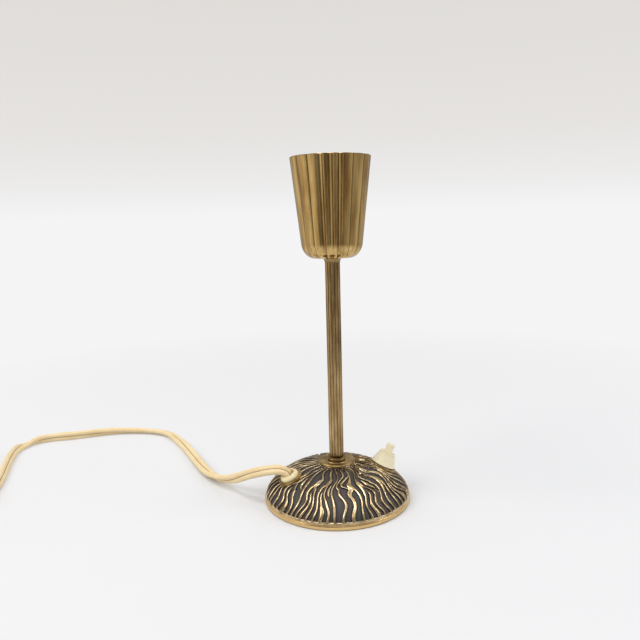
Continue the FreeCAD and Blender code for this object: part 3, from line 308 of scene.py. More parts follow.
# Flat flex, the points that its line is drawn from, and how it rolls: distance and degrees
flex_width = 7.2 * MM
core_radius = 1.95 * MM
core_offset = 1.65 * MM
core_columns = 11
flex_level = 3.7 * MM
flex_floor_gap = 0.1 * MM
flex_ring_step = 1.6 * MM
flex_line_steps = 12
flex_exit = Vector((-30.894 * MM, -11.244 * MM, 17.731 * MM))
flex_bend_run = 5.5 * MM
flex_bend_lift = 27
flex_bend_angle = 185
flex_rise_points = ((-46.6, -10.2, 23.9), (-60, -2, 18), (-76, 13, 7))
flex_table_points = (
    (-90, 25), (-103, 44), (-119, 76), (-136, 107), (-151, 127.5), (-175, 135),
    (-205, 133), (-234.5, 121), (-252, 117.8), (-265.5, 111), (-272.2, 96.4), (-269.6, 80.6),
    (-262.3, 57), (-252.5, 30), (-247.2, 8), (-247.2, -12),
)
flex_route = [Vector(point) * MM for point in flex_rise_points]
flex_route += [Vector((x * MM, y * MM, flex_level)) for x, y in flex_table_points]
flex_rolls = (
    (0, -32), (14, -32), (26, -52), (37, -66), (48, -88), (57, -108), (68, -126), (78, -142), (88, -172),
    (100, -202), (112, -212), (150, -224), (165, -208), (178, -185), (195, -162), (222, -156), (246, -132),
    (268, -110), (290, -94), (311, -100), (322, -158), (333, -216), (345, -228), (420, -230), (470, -240),
)
flex_coil_roll = -240
flex_plug_roll = -180
flex_hang = (105 * MM, 165 * MM)
flex_roll_window = 13
flex_rest_height = 9 * MM
flex_rest_stop = 60 * MM
flex_layer_level = 10 * MM
flex_layer_fade = 1.5 * MM
flex_layer_start = 400 * MM
flex_untwist_run = 75 * MM
flex_plug_run = 20 * MM

# Put-away coil of the flex
coil_radius = 39.4 * MM
coil_pitch = 7.9 * MM
coil_layer_turns = 2.5
coil_steps = 16
coil_climb_turns = 0.25
coil_tail_turns = 0.25
tail_spread_share = 0.75
coil_run = 20 * MM
plug_height = 13.7 * MM
plug_level = plug_height / 2 + flex_floor_gap

# Plan of the plug in millimetres, from the flex to its front, its corners' radii, and its edges
plug_corners = ((17, -7.5), (31.4, -17), (49, -17), (49, 17), (31.4, 17), (17, 7.5))
plug_rounds = (3, 12, 3.5, 3.5, 12, 3)
plug_round_steps = 8
plug_edge = 2.2 * MM
plug_edge_turns = (22, 45, 67, 90)
plug_seam_depth = 0.35 * MM
plug_seam_height = 0.18 * MM

# Brass, from its dark to its bright tone, and patina
brass_brown = (0.2, 0.125, 0.05)
# Dark brown of the reeds' valleys: tarnish, and painted shade in the creases between reeds
valley_tarnish_and_shade = (0.075, 0.042, 0.016)
rim_tone = (0.78, 0.545, 0.245)
rim_tone_share = 0.8
relief_tones = ((0.27, 0.195, 0.11), (0.5, 0.37, 0.2), (0.76, 0.61, 0.39))
stem_tones = ((0.21, 0.132, 0.058), (0.41, 0.28, 0.13), (0.61, 0.44, 0.22))
foot_tones = ((0.11, 0.07, 0.03), (0.21, 0.14, 0.062), (0.33, 0.23, 0.107))
cup_tones = ((0.38, 0.226, 0.088), (0.58, 0.398, 0.155), (0.78, 0.575, 0.255))
trim_tones = ((0.21, 0.14, 0.055), (0.35, 0.24, 0.102), (0.54, 0.39, 0.18))
contact_tones = ((0.45, 0.33, 0.14), (0.62, 0.46, 0.2), (0.75, 0.58, 0.28))
# Black of the channels: patina, and painted shade along their walls' feet
patina_and_shade_black = (0.01, 0.008, 0.007)
patina_purple = (0.066, 0.049, 0.047)
patina_green = (0.048, 0.051, 0.04)
patina_brown = (0.056, 0.039, 0.028)

# Plastics, sheath, felt and steel, each as its own tone and its dirt's, or as its darkest and palest
cream_tones = ((0.88, 0.8, 0.56), (0.42, 0.3, 0.13))
bush_tones = ((0.82, 0.7, 0.42), (0.42, 0.28, 0.11))
bakelite_tones = ((0.03, 0.017, 0.011), (0.075, 0.05, 0.032))
core_tones = ((0.16, 0.06, 0.03), (0.07, 0.035, 0.02))
plug_tones = ((0.8, 0.73, 0.54), (0.45, 0.34, 0.18))
ivory_tones = ((0.77, 0.59, 0.32), (0.84, 0.69, 0.42))
ivory_dirt = (0.52, 0.36, 0.17)
# Brown of the groove between the flex's cores: dirt and painted shade
seam_dirt_and_shade = (0.16, 0.075, 0.03)
felt_tones = ((0.01, 0.011, 0.01), (0.055, 0.06, 0.052))
steel_tones = ((0.42, 0.41, 0.38), (0.62, 0.61, 0.58))
sheath_glow = (1.2 * MM, 0.9 * MM, 0.5 * MM)

# Room that the polished pieces mirror: place from left to right, and shade
room_shades = (
    (0.03, 0.74), (0.12, 0.54), (0.165, 0.26), (0.25, 0.19), (0.3, 0.3), (0.34, 0.17), (0.41, 0.13),
    (0.455, 0.2), (0.475, 0.66), (0.51, 0.72), (0.545, 0.5), (0.58, 0.18), (0.65, 0.18), (0.675, 0.56),
    (0.71, 0.48), (0.74, 0.19), (0.85, 0.33), (0.97, 0.38))
room_warmth_shares = (1, 0.9, 0.78)
room_back_tone = (0.62, 0.6, 0.57)
room_ceiling_tone = (0.95, 0.94, 0.92)
room_back_stops = ((0.44, 0), (0.6, 0.5))
room_ceiling_stops = ((0.45, 0), (0.75, 0.8))

# Floor, backdrop and lamps
floor_reach = 8
floor_roughness = 0.8
floor_tone = (0.712, 0.715, 0.728)
floor_fade = (0.1, 0.65)
mirror_fade = (0.2, 0.6)
horizon_tone = (0.91, 0.907, 0.917)
backdrop_tones = [
    (0, horizon_tone), (0.05, (0.84, 0.832, 0.827)), (0.12, (0.79, 0.77, 0.75)),
    (0.3, (0.74, 0.72, 0.695))]
even_light = 0.62
# Each lamp's name, place, target, size, power and colour
softboxes = (
    ("key", (-1, -0.35, 1.1), (0, 0, 0.1), 0.8, 8.6, (1, 0.985, 0.96)),
    ("fill", (1.2, -0.1, 0.9), (0, 0, 0.1), 0.8, 5.2, (0.97, 0.985, 1)),
    ("over", (0, -0.1, 1.6), (0, 0, 0), 0.5, 7, (1, 1, 1)),
)


def polar(radius, degrees, height):
    """Point at a radius, an angle and a height."""
    turn = math.radians(degrees)
    return Vector((radius * math.cos(turn), radius * math.sin(turn), height))


def smooth(share):
    """Smooth step of a number or an array from 0 to 1."""
    share = np.clip(share, 0, 1)
    return share * share * (3 - 2 * share)


def dome_seat(place_share, angle):
    """Seat on the dome: Z is the dome's normal and X points down the slope."""
    radius = base_radius * place_share
    out = radius / dome_radius
    up = (1 - out ** spread_power) ** (1 / drop_power)
    outward = spread_power / dome_radius * out ** (spread_power - 1)
    upward = drop_power / dome_rise * up ** (drop_power - 1)
    place = Matrix.Translation(polar(radius, angle, dome_foot + dome_rise * up))
    turn = Matrix.Rotation(math.radians(angle), 4, "Z")
    return place @ turn @ Matrix.Rotation(math.atan2(outward, upward), 4, "Y")


switch_seat = dome_seat(switch_place_share, switch_angle)
bush_seat = dome_seat(bush_place_share, bush_angle)
bush_axis = bush_seat.col[2].to_3d()


def linked(name, data):
    """New object in the scene."""
    item = bpy.data.objects.new(name, data)
    bpy.context.scene.collection.objects.link(item)
    return item


def make_camera():
    """Camera at the photograph's place."""
    pitch, yaw, roll = (math.radians(angle) for angle in (camera_pitch, camera_yaw, camera_roll))
    data = bpy.data.cameras.new("photo_camera")
    data.sensor_width = sensor_width
    data.lens = sensor_width * focal_share
    data.clip_start = camera_clip
    camera = linked("photo_camera", data)
    camera.matrix_world = (Matrix.Translation(camera_place) @ Matrix.Rotation(-yaw, 4, "Z")
                           @ Matrix.Rotation(math.pi / 2 - pitch, 4, "X") @ Matrix.Rotation(roll, 4, "Z"))
    bpy.context.scene.camera = camera


make_camera()


def add_object(name, mesh, slot, body="lamp", replaces=(), material=None):
    """Piece with its body and the material named by its slot, or the one given, in place of replaced solids.
    """
    piece = linked(name, mesh)
    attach(piece, body)
    if replaces:
        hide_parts(*replaces)
    mesh.materials.append(materials[material or slot])
    return piece


def grid_mesh(name, rows, loop_rows=False, caps=False, values=None, matrix=None):
    """Mesh of closed rings, where rows[i][j] is a point and values are point attributes."""
    rows = np.asarray(rows, float)
    count, around = rows.shape[:2]
    points = rows.reshape(-1, 3)
    if matrix is not None:
        turn = np.array(matrix.to_3x3())
        points = points @ turn.T + np.array(matrix.translation)
    index = np.arange(count * around).reshape(count, around)
    after = np.roll(index, -1, axis=1)
    upper, upper_after = (np.roll(index, -1, axis=0), np.roll(after, -1, axis=0))
    last = count if loop_rows else count - 1
    quads = np.stack([index, after, upper_after, upper], axis=-1)[:last].reshape(-1, 4).tolist()
    if caps:
        quads += [index[0][::-1].tolist(), index[-1].tolist()]
    mesh = bpy.data.meshes.new(name)
    mesh.from_pydata(points.tolist(), [], quads)
    for key, value in (values or {}).items():
        layer = mesh.attributes.new(key, "FLOAT", "POINT")
        layer.data.foreach_set("value", np.asarray(value, np.float32).ravel())
    return mesh


def tidy_mesh(mesh, sharp=turned_sharp):
    """Faces outwards and shaded smooth, with edges over an angle left sharp."""
    work = bmesh.new()
    work.from_mesh(mesh)
    bmesh.ops.recalc_face_normals(work, faces=work.faces)
    limit = math.radians(sharp)
    for face in work.faces:
        face.smooth = True
    for edge in work.edges:
        edge.smooth = not (edge.is_manifold and edge.calc_face_angle(0) > limit)
    work.to_mesh(mesh)
    work.free()
    mesh.update()
    return mesh


def rounded(points, radii, steps=4):
    """Closed outline with its corners rounded. A radius of 0 keeps a corner."""
    out = []
    count = len(points)
    for k, (corner, radius) in enumerate(zip(points, radii)):
        here = Vector(corner).to_3d()
        if radius == 0:
            out.append(here)
            continue
        back = (Vector(points[k - 1]).to_3d() - here).normalized()
        ahead = (Vector(points[(k + 1) % count]).to_3d() - here).normalized()
        half = back.angle(ahead) / 2
        reach = radius / math.tan(half)
        centre = here + (back + ahead).normalized() * (radius / math.sin(half))
        first = here + back * reach - centre
        last = here + ahead * reach - centre
        for step in range(steps + 1):
            out.append(centre + first.slerp(last, step / steps).normalized() * radius)
    return out


def circle_row(radius, height, angle):
    """Ring of points at given angles."""
    return np.stack([radius * np.cos(angle), radius * np.sin(angle), height + 0 * angle], -1)


def full_turn(count):
    """Even angles round a circle."""
    return np.linspace(0, math.tau, count, endpoint=False)


def swept(centre, wide, thin, outline):
    """Rows of an outline carried along a line, in its two side directions."""
    return centre[:, None] + wide[:, None] * outline[:, :1] + thin[:, None] * outline[:, 1:2]


def turned(name, outline, sides=turned_sides, matrix=None, sharp=turned_sharp, solid=False):
    """Mesh turned about Z: a ring from a closed outline, or a capped solid."""
    rows = [circle_row(point[0], point[1], full_turn(sides)) for point in outline]
    return tidy_mesh(grid_mesh(name, rows, loop_rows=not solid, caps=solid, matrix=matrix), sharp)


def turned_piece(name, node, slot, outline, rounds=None, seat=None, sides=turned_sides,
                 sharp=turned_sharp, material=None, body="lamp", solid=False, steps=3):
    """Piece turned from an outline in millimetres, in place of a node or of none."""
    points = [(radius * MM, height * MM) for radius, height in outline]
    if rounds:
        points = rounded(points, [radius * MM for radius in rounds], steps)
    mesh = turned(name, points, sides, seat, sharp, solid)
    add_object(name, mesh, slot, body, (node,) if node else (), material)


# Materials
def fill(socket, value):
    """Links a socket to another one, or sets its value."""
    if isinstance(value, bpy.types.NodeSocket):
        socket.id_data.links.new(value, socket)
    elif socket.type == "RGBA":
        socket.default_value = (*value, 1)
    else:
        socket.default_value = value


def put(tree, kind, inputs=None, **settings):
    """Adds a node, sets its properties and fills its inputs."""
    node = tree.nodes.new("ShaderNode" + kind)
    for key, value in settings.items():
        setattr(node, key, value)
    for key, value in (inputs or {}).items():
        fill(node.inputs[key], value)
    return node


def drive(shader, **inputs):
    """Fills the shader's inputs, which are named in small letters."""
    for key, value in inputs.items():
        fill(shader.inputs[key.replace("_", " ").title()], value)


def new_material(name, **inputs):
    """Material with one Principled shader, and some of its inputs filled."""
    material = bpy.data.materials.new(name)
    material.use_nodes = True
    tree = material.node_tree
    shader = tree.nodes["Principled BSDF"]
    drive(shader, **inputs)
    return material, tree, shader


def place_of(tree, stretch=(1, 1, 1)):
    """Point on the object, in millimetres, squeezed or stretched along its axes."""
    where = put(tree, "TexCoord").outputs["Object"]
    scale = Vector(stretch) / MM
    return put(tree, "Mapping", {"Vector": where, "Scale": scale}).outputs["Vector"]


def cloud(place, size, detail=3, roughness=0.55):
    """Soft noise whose lumps are about a size in millimetres."""
    return put(place.id_data, "TexNoise", {
        "Vector": place, "Scale": 1 / size, "Detail": detail, "Roughness": roughness}).outputs["Fac"]


def ramp(factor, stops):
    """Colour ramp from (place, colour or grey) stops."""
    node = put(factor.id_data, "ValToRGB", {"Fac": factor})
    points = node.color_ramp.elements
    while len(points) < len(stops):
        points.new(0.5)
    for point, (place, colour) in zip(points, stops):
        point.position = place
        grey = isinstance(colour, (int, float))
        point.color = (colour, colour, colour, 1) if grey else (*colour, 1)
    return node.outputs["Color"]


def mixed(factor, first, second):
    """Mix of two colours."""
    return put(factor.id_data, "Mix", {0: factor, 6: first, 7: second}, data_type="RGBA").outputs[2]


def maths(operation, *values):
    """One step of arithmetic that starts from a socket."""
    return put(values[0].id_data, "Math", dict(enumerate(values)), operation=operation).outputs[0]


def bumped(height, distance, strength=1, normal=None):
    """Bump from a height, with its distance in millimetres."""
    inputs = {"Height": height, "Distance": distance * MM, "Strength": strength}
    if normal is not None:
        inputs["Normal"] = normal
    return put(height.id_data, "Bump", inputs).outputs["Normal"]


def attribute(tree, name):
    """A point attribute of the mesh."""
    return put(tree, "Attribute", attribute_name=name).outputs["Fac"]


def aged_brass(name, tones, streak=1, roughness=0.3, valley=None, tarnish=0.6, darkening=0.9,
               reach=(0.15, 0.95), spread=0.18):
    """Worn brass: three tones in drawn-out clouds, spots, and dark tarnish with painted shade in the
    valleys.
    """
    material, tree, shader = new_material(name, metallic=1)
    dark, middle, bright = tones
    drawn = place_of(tree, (1, 1, streak))
    clouds = cloud(drawn, 5, 5, 0.6)
    tone = ramp(clouds, [(0.5 - spread, dark), (0.5, middle), (0.52 + spread, bright)])
    spotted = ramp(cloud(place_of(tree), 0.9, 6, 0.75), [(0.56, 0), (0.7, tarnish)])
    colour = mixed(spotted, tone, brass_brown)
    if valley:
        # Valleys darkened: tarnish, and painted shade in the creases between reeds
        tarnish_and_shade = ramp(attribute(tree, valley), [(reach[0], 0), (reach[1], darkening)])
        colour = mixed(tarnish_and_shade, colour, valley_tarnish_and_shade)
    scratches = cloud(place_of(tree, (1, 1, 0.06)), 0.25, 2)
    sheen = cloud(drawn, 2.5, 4)
    drive(shader, base_color=colour,
          roughness=ramp(sheen, [(0.25, roughness), (0.8, roughness * 1.5 + 0.03)]),
          normal=bumped(scratches, 0.015, 0.3, bumped(clouds, 0.12, 0.3)))
    return material


def relief_brass():
    """Cast relief: polished ridges, and dark patina in the channels, with black painted shade along their
    walls.
    """
    material, tree, shader = new_material("cast_relief_brass")
    place = place_of(tree)
    tint = attribute(tree, "tint")
    clouds = cloud(place, 5, 4)
    fine = cloud(place, 0.6, 4, 0.65)
    cast = ramp(clouds, list(zip((0.32, 0.47, 0.68), relief_tones)))
    rim = maths("MULTIPLY", maths("GREATER_THAN", tint, rim_tint_limit), rim_tone_share)
    ridge = mixed(rim, cast, rim_tone)
    shade = ramp(tint, [(0, patina_purple), (0.45, patina_brown), (0.75, patina_purple), (1, patina_green)])
    floor = mixed(ramp(fine, [(0.35, 0), (0.75, 0.55)]), shade, patina_and_shade_black)
    # Black at the channels' feet and walls: patina and painted shade
    tarnish_and_shade = mixed(attribute(tree, "floor"), patina_and_shade_black, floor)
    ragged = ramp(fine, [(0.3, -0.16), (0.75, 0.16)])
    mask = ramp(maths("ADD", attribute(tree, "patina"), ragged), [(0.3, 0), (0.58, 1)])
    drive(shader, base_color=mixed(mask, ridge, tarnish_and_shade),
          metallic=ramp(mask, [(0, 1), (1, 0.12)]),
          roughness=ramp(mask, [(0, 0.24), (1, 0.54)]),
          normal=bumped(fine, 0.08, 0.45, bumped(clouds, 0.1, 0.3)))
    return material


def moulded(name, tones, roughness, grain=0.35):
    """Moulded plastic, a little soiled, with a fine uneven skin."""
    material, tree, shader = new_material(name, coat_weight=0.1, coat_roughness=0.25)
    colour, darkening = tones
    place = place_of(tree)
    large = cloud(place, 7, 3)
    specks = cloud(place, 0.8, 5, 0.7)
    base = mixed(ramp(large, [(0.3, 0), (0.85, 0.14)]), colour, darkening)
    speckled = mixed(ramp(specks, [(0.62, 0), (0.8, 0.5)]), base, darkening)
    drive(shader, base_color=speckled,
          roughness=ramp(large, [(0.2, roughness), (0.8, roughness + 0.12)]),
          normal=bumped(cloud(place, grain, 3), 0.03, 0.3))
    return material


def flex_sheath():
    """Ivory sheath with a brown seam between its cores: soiled, and painted shade in the groove."""
    material, tree, shader = new_material("flex_sheath", subsurface_weight=0.08, subsurface_scale=1,
                                          subsurface_radius=sheath_glow)
    place = place_of(tree)
    fine = cloud(place, 1.2, 4)
    ivory = ramp(cloud(place, 14, 3), list(zip((0.3, 0.75), ivory_tones)))
    worn = mixed(ramp(fine, [(0.55, 0), (0.8, 0.35)]), ivory, ivory_dirt)
    # Seam between the cores darkened: dirt and painted shade in the groove
    seam = ramp(attribute(tree, "seam"), [(0.45, 0), (0.95, 0.92)])
    drive(shader, base_color=mixed(seam, worn, seam_dirt_and_shade),
          roughness=ramp(fine, [(0.3, 0.42), (0.8, 0.55)]),
          normal=bumped(fine, 0.06, 0.3))
    return material


def pressed_felt():
    """Dark felt with short matted fibres."""
    material, tree, shader = new_material("pressed_felt", sheen_weight=0.4, sheen_roughness=0.6)
    fibres = cloud(place_of(tree, (1, 0.3, 1)), 0.25, 5, 0.7)
    tufts = cloud(place_of(tree), 1)
    drive(shader, base_color=ramp(fibres, list(zip((0.3, 0.8), felt_tones))),
          roughness=ramp(tufts, [(0.2, 0.85), (0.8, 1)]),
          normal=bumped(fibres, 0.25, 0.8))
    return material


def plated_steel():
    """Plated steel with a fine turned grain."""
    material, tree, shader = new_material("plated_steel", metallic=1)
    grain = cloud(place_of(tree, (1, 1, 8)), 0.8, 3)
    clouds = cloud(place_of(tree), 4)
    drive(shader, base_color=ramp(clouds, list(zip((0.3, 0.8), steel_tones))),
          roughness=ramp(grain, [(0.3, 0.28), (0.8, 0.46)]),
          normal=bumped(grain, 0.03, 0.3))
    return material


materials = {
    "brass_base": relief_brass(),
    "brass_cup": aged_brass("aged_cup_brass", cup_tones, streak=0.06, roughness=0.07, valley="valley",
                            tarnish=0.55, darkening=0.85, reach=(0.5, 0.95), spread=0.14),
    "brass_stem": aged_brass("aged_stem_brass", stem_tones, streak=0.2, roughness=0.17, valley="valley",
                             darkening=0.92, reach=(0.03, 0.45)),
    "brass_foot": aged_brass("dark_foot_brass", foot_tones),
    "brass_trim": aged_brass("turned_brass", trim_tones, roughness=0.28),
    "cream_plastic": moulded("cream_plastic", cream_tones, 0.34),
    "bush_plastic": moulded("bush_plastic", bush_tones, 0.38),
    "felt": pressed_felt(),
    "steel": plated_steel(),
    "bakelite": moulded("dark_bakelite", bakelite_tones, 0.3),
    "contact_brass": aged_brass("contact_brass", contact_tones, tarnish=0.2),
    "flex_sheath": flex_sheath(),
    "core_sleeve": moulded("core_sleeve", core_tones, 0.45),
    "plug_plastic": moulded("plug_plastic", plug_tones, 0.42, 0.6),
    "pin_metal": plated_steel(),
}


# Flex
def flex_points():
    """Points of the free flex, from inside the bushing to the coil."""
    lifted = flex_exit + bush_axis * flex_bend_run
    lift = math.radians(flex_bend_lift)
    lean = polar(math.cos(lift), flex_bend_angle, math.sin(lift))
    return [flex_exit, lifted, lifted + lean * flex_bend_run, *flex_route]


def coil_points():
    """Points of the coil: in along the table, up a layer, out and down to the plug."""
    outer = coil_radius + coil_pitch * coil_layer_turns / 2
    swell = 1 / math.cos(math.pi / coil_steps)
    centre = flex_route[-1] - Vector((outer, flex_width, 0))
    top = flex_level + coil_pitch
    total = 2 * coil_layer_turns + coil_tail_turns
    points = []
    for k in range(1, int(total * coil_steps) + 1):
        turns = k / coil_steps - coil_layer_turns
        tail = max(turns - coil_layer_turns, 0) / coil_tail_turns
        wound = coil_radius + coil_pitch * (min(abs(turns), coil_layer_turns) - coil_layer_turns / 2)
        radius = wound + coil_pitch * tail_spread_share * tail
        climb = smooth((turns / coil_climb_turns + 1) / 2)
        height = flex_level + coil_pitch * climb - (top - plug_level) * tail * tail
        around = polar(radius * swell, -FULL_TURN * (turns + coil_layer_turns), float(height))
        points.append(around + Vector((centre.x, centre.y, 0)))
    end = centre + Vector((0, -outer - coil_pitch * tail_spread_share, plug_level - flex_level))
    points[-1] = end
    return points + [end - Vector((coil_run / 2, 0, 0)), end - Vector((coil_run, 0, 0))]


def smooth_line(name, points):
    """Points of a smooth line that follows control points."""
    curve = bpy.data.curves.new(name, "CURVE")
    curve.dimensions = "3D"
    curve.resolution_u = flex_line_steps
    spline = curve.splines.new("NURBS")
    spline.points.add(len(points) - 1)
    for target, point in zip(spline.points, points):
        target.co = (*point, 1)
    spline.order_u = 3
    spline.use_endpoint_u = True
    holder = linked(name, curve)
    read = bpy.data.meshes.new_from_object(holder)
    line = np.array([vertex.co for vertex in read.vertices], float)
    bpy.data.objects.remove(holder)
    bpy.data.curves.remove(curve)
    bpy.data.meshes.remove(read)
    return line


def evenly(line, step):
    """The line read again at even steps, with the distance of each point."""
    travelled = np.concatenate([[0], np.cumsum(np.linalg.norm(np.diff(line, axis=0), axis=1))])
    count = int(travelled[-1] / step) + 1
    at = np.linspace(0, travelled[-1], count)
    return np.stack([np.interp(at, travelled, line[:, axis]) for axis in range(3)], -1), at


def flex_section():
    """Outline of the two joined cores, and which of its points lie in the seam."""
    stop = math.acos(-core_offset / core_radius)
    turns = np.linspace(-stop, stop, core_columns + 2)[:-1]
    right = np.stack([core_offset + core_radius * np.cos(turns),
                      core_radius * np.sin(turns)], -1)
    outline = np.concatenate([right, -right])
    seam = np.zeros(len(outline))
    seam[[0, len(right)]] = 1
    return outline, seam


def flex_roll(at):
    """Roll of the flex at distances along it, smoothed."""
    end = at[-1]
    stations, rolls = (list(part) for part in zip(*flex_rolls))
    stations = [place * MM for place in stations] + [end - flex_untwist_run, end - flex_plug_run, end]
    rolls += [flex_coil_roll, flex_plug_roll, flex_plug_roll]
    window = np.hanning(flex_roll_window)
    padded = np.pad(np.interp(at, stations, rolls), flex_roll_window // 2, mode="edge")
    return np.radians(np.convolve(padded, window / window.sum(), "valid"))


def settle(centre, at, roll):
    """Lowers the flex on to the table, or its upper layer on to the lower one, where it lies flat."""
    slack = flex_width / 2 - core_radius - core_offset * np.abs(np.sin(roll))
    lying = smooth((at - flex_hang[0]) / (flex_hang[1] - flex_hang[0]))
    resting = lying * (1 - smooth((centre[:, 2] - flex_level) / flex_rest_height))
    resting[at > at[-1] - flex_rest_stop] = 0
    wound = (at > flex_layer_start) * (at < at[-1] - flex_plug_run)
    layered = smooth((centre[:, 2] - flex_layer_level) / flex_layer_fade) * wound
    centre[:, 2] -= slack * resting + layered * 2 * slack


def make_flex():
    """Flat twin flex from the bushing to the plug, rolled as it lies."""
    centre, at = evenly(smooth_line("flex_line", flex_points() + coil_points()), flex_ring_step)
    roll = flex_roll(at)
    settle(centre, at, roll)
    ahead = np.gradient(centre, axis=0)
    ahead /= np.linalg.norm(ahead, axis=1)[:, None]
    side = np.cross(UP, ahead)
    side /= np.linalg.norm(side, axis=1)[:, None]
    above = np.cross(ahead, side)
    wide = side * np.cos(roll)[:, None] + above * np.sin(roll)[:, None]
    thin = above * np.cos(roll)[:, None] - side * np.sin(roll)[:, None]
    outline, seam = flex_section()
    rows = swept(centre, wide, thin, outline)
    mesh = grid_mesh("flex", rows, caps=True, values={"seam": np.tile(seam, len(centre))})
    flex = add_object("flex", tidy_mesh(mesh, flex_sharp), "flex_sheath",
                      replaces=("flex_stretch", "flex_coil"))
    return flex, centre


flex, flex_centre = make_flex()


# Relief of the base
def dome_arch(radius, rise, stop_radius):
    """Arch of the dome from an inner radius down to its foot, as (distance, radius, height)."""
    stop = math.acos((stop_radius / radius) ** (spread_power / 2))
    turn = np.linspace(stop, 0, dome_samples)
    out = radius * np.cos(turn) ** (2 / spread_power)
    up = dome_foot + rise * np.sin(turn) ** (2 / drop_power)
    steps = np.hypot(np.diff(out), np.diff(up))
    return np.concatenate([[0], np.cumsum(steps)]), out, up


def relief_items():
    """Ridges and channels in turn round the dome: group, start, swelling, shares and phase."""
    items = []
    gaps = iter(relief_gap_shares)
    for group, lanes in enumerate(relief_lanes):
        for _ in range(lanes):
            form, start = next(gaps)
            items.append((group, 0, 0, lane_shares))
            for swelling, shares in zip(relief_swellings.get(form, ()), relief_form_shares.get(form, ())):
                items.append((group, start, swelling, shares))
    return [(*item, k * phase_step_share) for k, item in enumerate(items)]


def sway(phase, share, waves):
    """Gentle wander about 0 along the way down."""
    slow = sway_phase_share * phase + sway_rate_share * waves * share
    return (math.sin(phase + waves * share) + math.sin(slow)) / 2


def ridge_width(item, share):
    """Width of a ridge at a share of the way down."""
    _, start, swelling, (grow, end, widest, *_), phase = item
    plain = ridge_top_width + (ridge_foot_width - ridge_top_width) * smooth(share)
    bulge = swelling * (1 + ridge_sway_share * math.sin(phase)) * math.exp(
        -((share - start - widest) / ridge_swell_share) ** 2)
    width = (plain + bulge) * (1 + ridge_sway_share * sway(phase, share, ridge_sway_rate))
    grown = smooth((share - start - grow) / ridge_grow_share)
    return width * grown * smooth((start + end - share) / channel_close_share)


def channel_weight(item, share):
    """Weight of a channel among those that share its group's room."""
    _, start, _, (*_, opens, closes, weight), phase = item
    opened = smooth((share - start - opens) / channel_open_share)
    closed = smooth((start + closes - share) / channel_close_share)
    swayed = 1 + channel_sway_share * sway(phase, share, channel_sway_rate)
    return weight * math.sqrt(opened * closed) * swayed


def relief_ring(items, share, radius):
    """Angle of each ridge, its width and the width of the channel after it, at one level."""
    ridges = [max(ridge_width(item, share), ridge_least) for item in items]
    weights = [channel_weight(item, share) for item in items]
    angles = []
    gaps = []
    low = 0
    for group, lanes in enumerate(relief_lanes):
        own = [k for k, item in enumerate(items) if item[0] == group]
        after = (own[-1] + 1) % len(items)
        span = math.tau * lanes / sum(relief_lanes)
        room = span * radius - ridges[own[0]] / 2 - ridges[after] / 2
        inner = sum(ridges[k] for k in own[1:])
        squeeze = min(1, ridge_limit_share * room / inner) if inner else 1
        for k in own[1:]:
            ridges[k] *= squeeze
        free = room - inner * squeeze
        here = low * radius
        for k in own:
            gap = max(free * weights[k] / sum(weights[j] for j in own), channel_least)
            angles.append(here / radius)
            gaps.append(gap)
            here += ridges[k] / 2 + gap + ridges[(k + 1) % len(items)] / 2
        low += span
    return angles, ridges, gaps


def warp_shift(angle, share):
    """Sideways shift of the whole pattern at an angle."""
    reach = warp_reach * math.sin(math.pi * share ** warp_bend_share) + warp_rim_reach * share
    return reach * sum(math.sin(k * angle + rate * share + phase) for k, rate, phase in warp_wave_shares)


def channel_dip(gap):
    """Depth of a channel, which is shallower where it is narrow."""
    return relief_depth * np.minimum(1, gap / full_width) ** depth_power


def relief_columns(left, right, ridge, ridge_after, gap, gap_before, closing, opening):
    """Columns over a ridge and its channel: place, depth, patina and floor colour of each."""
    land = np.minimum(ridge_land / 2, gap * land_gap_share)
    start = left + ridge / 2 + land
    stop = right - ridge_after / 2 - land
    width = np.maximum(stop - start, sliver)
    foot = np.minimum(relief_wall, wall_share * width)
    flank = (width + foot) * slope_share
    deep = channel_dip(width) * closing * opening
    before = channel_dip(gap_before) * closing * opening
    risen = 1 - smooth(ridge / ridge_sharp_width)
    risen_after = 1 - smooth(ridge_after / ridge_sharp_width)
    crown = ridge_crown * smooth(ridge / ridge_crown_width) * closing
    shoulder = ridge_shoulder * closing
    painted = smooth(width / paint_width) * closing * opening
    edged = paint_edge_share * painted
    places = (start + foot, start + flank, (start + stop) / 2, stop - flank, stop - foot)
    inner = [(place, deep * depth_shares[k], painted, floor_shares[k])
             for place, k in zip(places, (0, 1, 2, 1, 0))]
    return [(left, np.minimum(deep, before) * risen - crown, risen * painted, 0),
            (start, deep * risen + shoulder, edged, 0),
            *inner,
            (stop, deep * risen_after + shoulder, edged, 0)]


def relief_rings(levels, length, radius):
    """Angles, depths and paint masks of the relief's columns, eight to a ridge and its channel."""
    items = relief_items()
    rings = [relief_ring(items, share, r) for share, r in zip(levels / length, radius)]
    angle = np.array([ring[0] + [ring[0][0] + math.tau] for ring in rings]).T
    ridge = np.array([ring[1] for ring in rings]).T
    gap = np.array([ring[2] for ring in rings]).T
    closing = smooth((length - relief_margin - levels) / end_wall)
    opening = smooth((levels - relief_start / 3) / relief_start)
    columns = []
    for i, item in enumerate(items):
        after = (i + 1) % len(items)
        hue = 0.5 + 0.5 * math.sin(item[-1] * 3)
        for place, dip, mark, middle in relief_columns(
                angle[i] * radius, angle[i + 1] * radius, ridge[i], ridge[after], gap[i], gap[i - 1],
                closing, opening):
            columns.append([part + 0 * radius for part in (place / radius, dip, mark, middle, hue)])
    return np.transpose(columns, (1, 2, 0))


def warped(angle, level, radius, length):
    """Angles of all the columns with the pattern's sideways shift."""
    shift = [[warp_shift(a, way / length) / r for a in row] for row, way, r in zip(angle, level, radius)]
    return angle + np.array(shift)


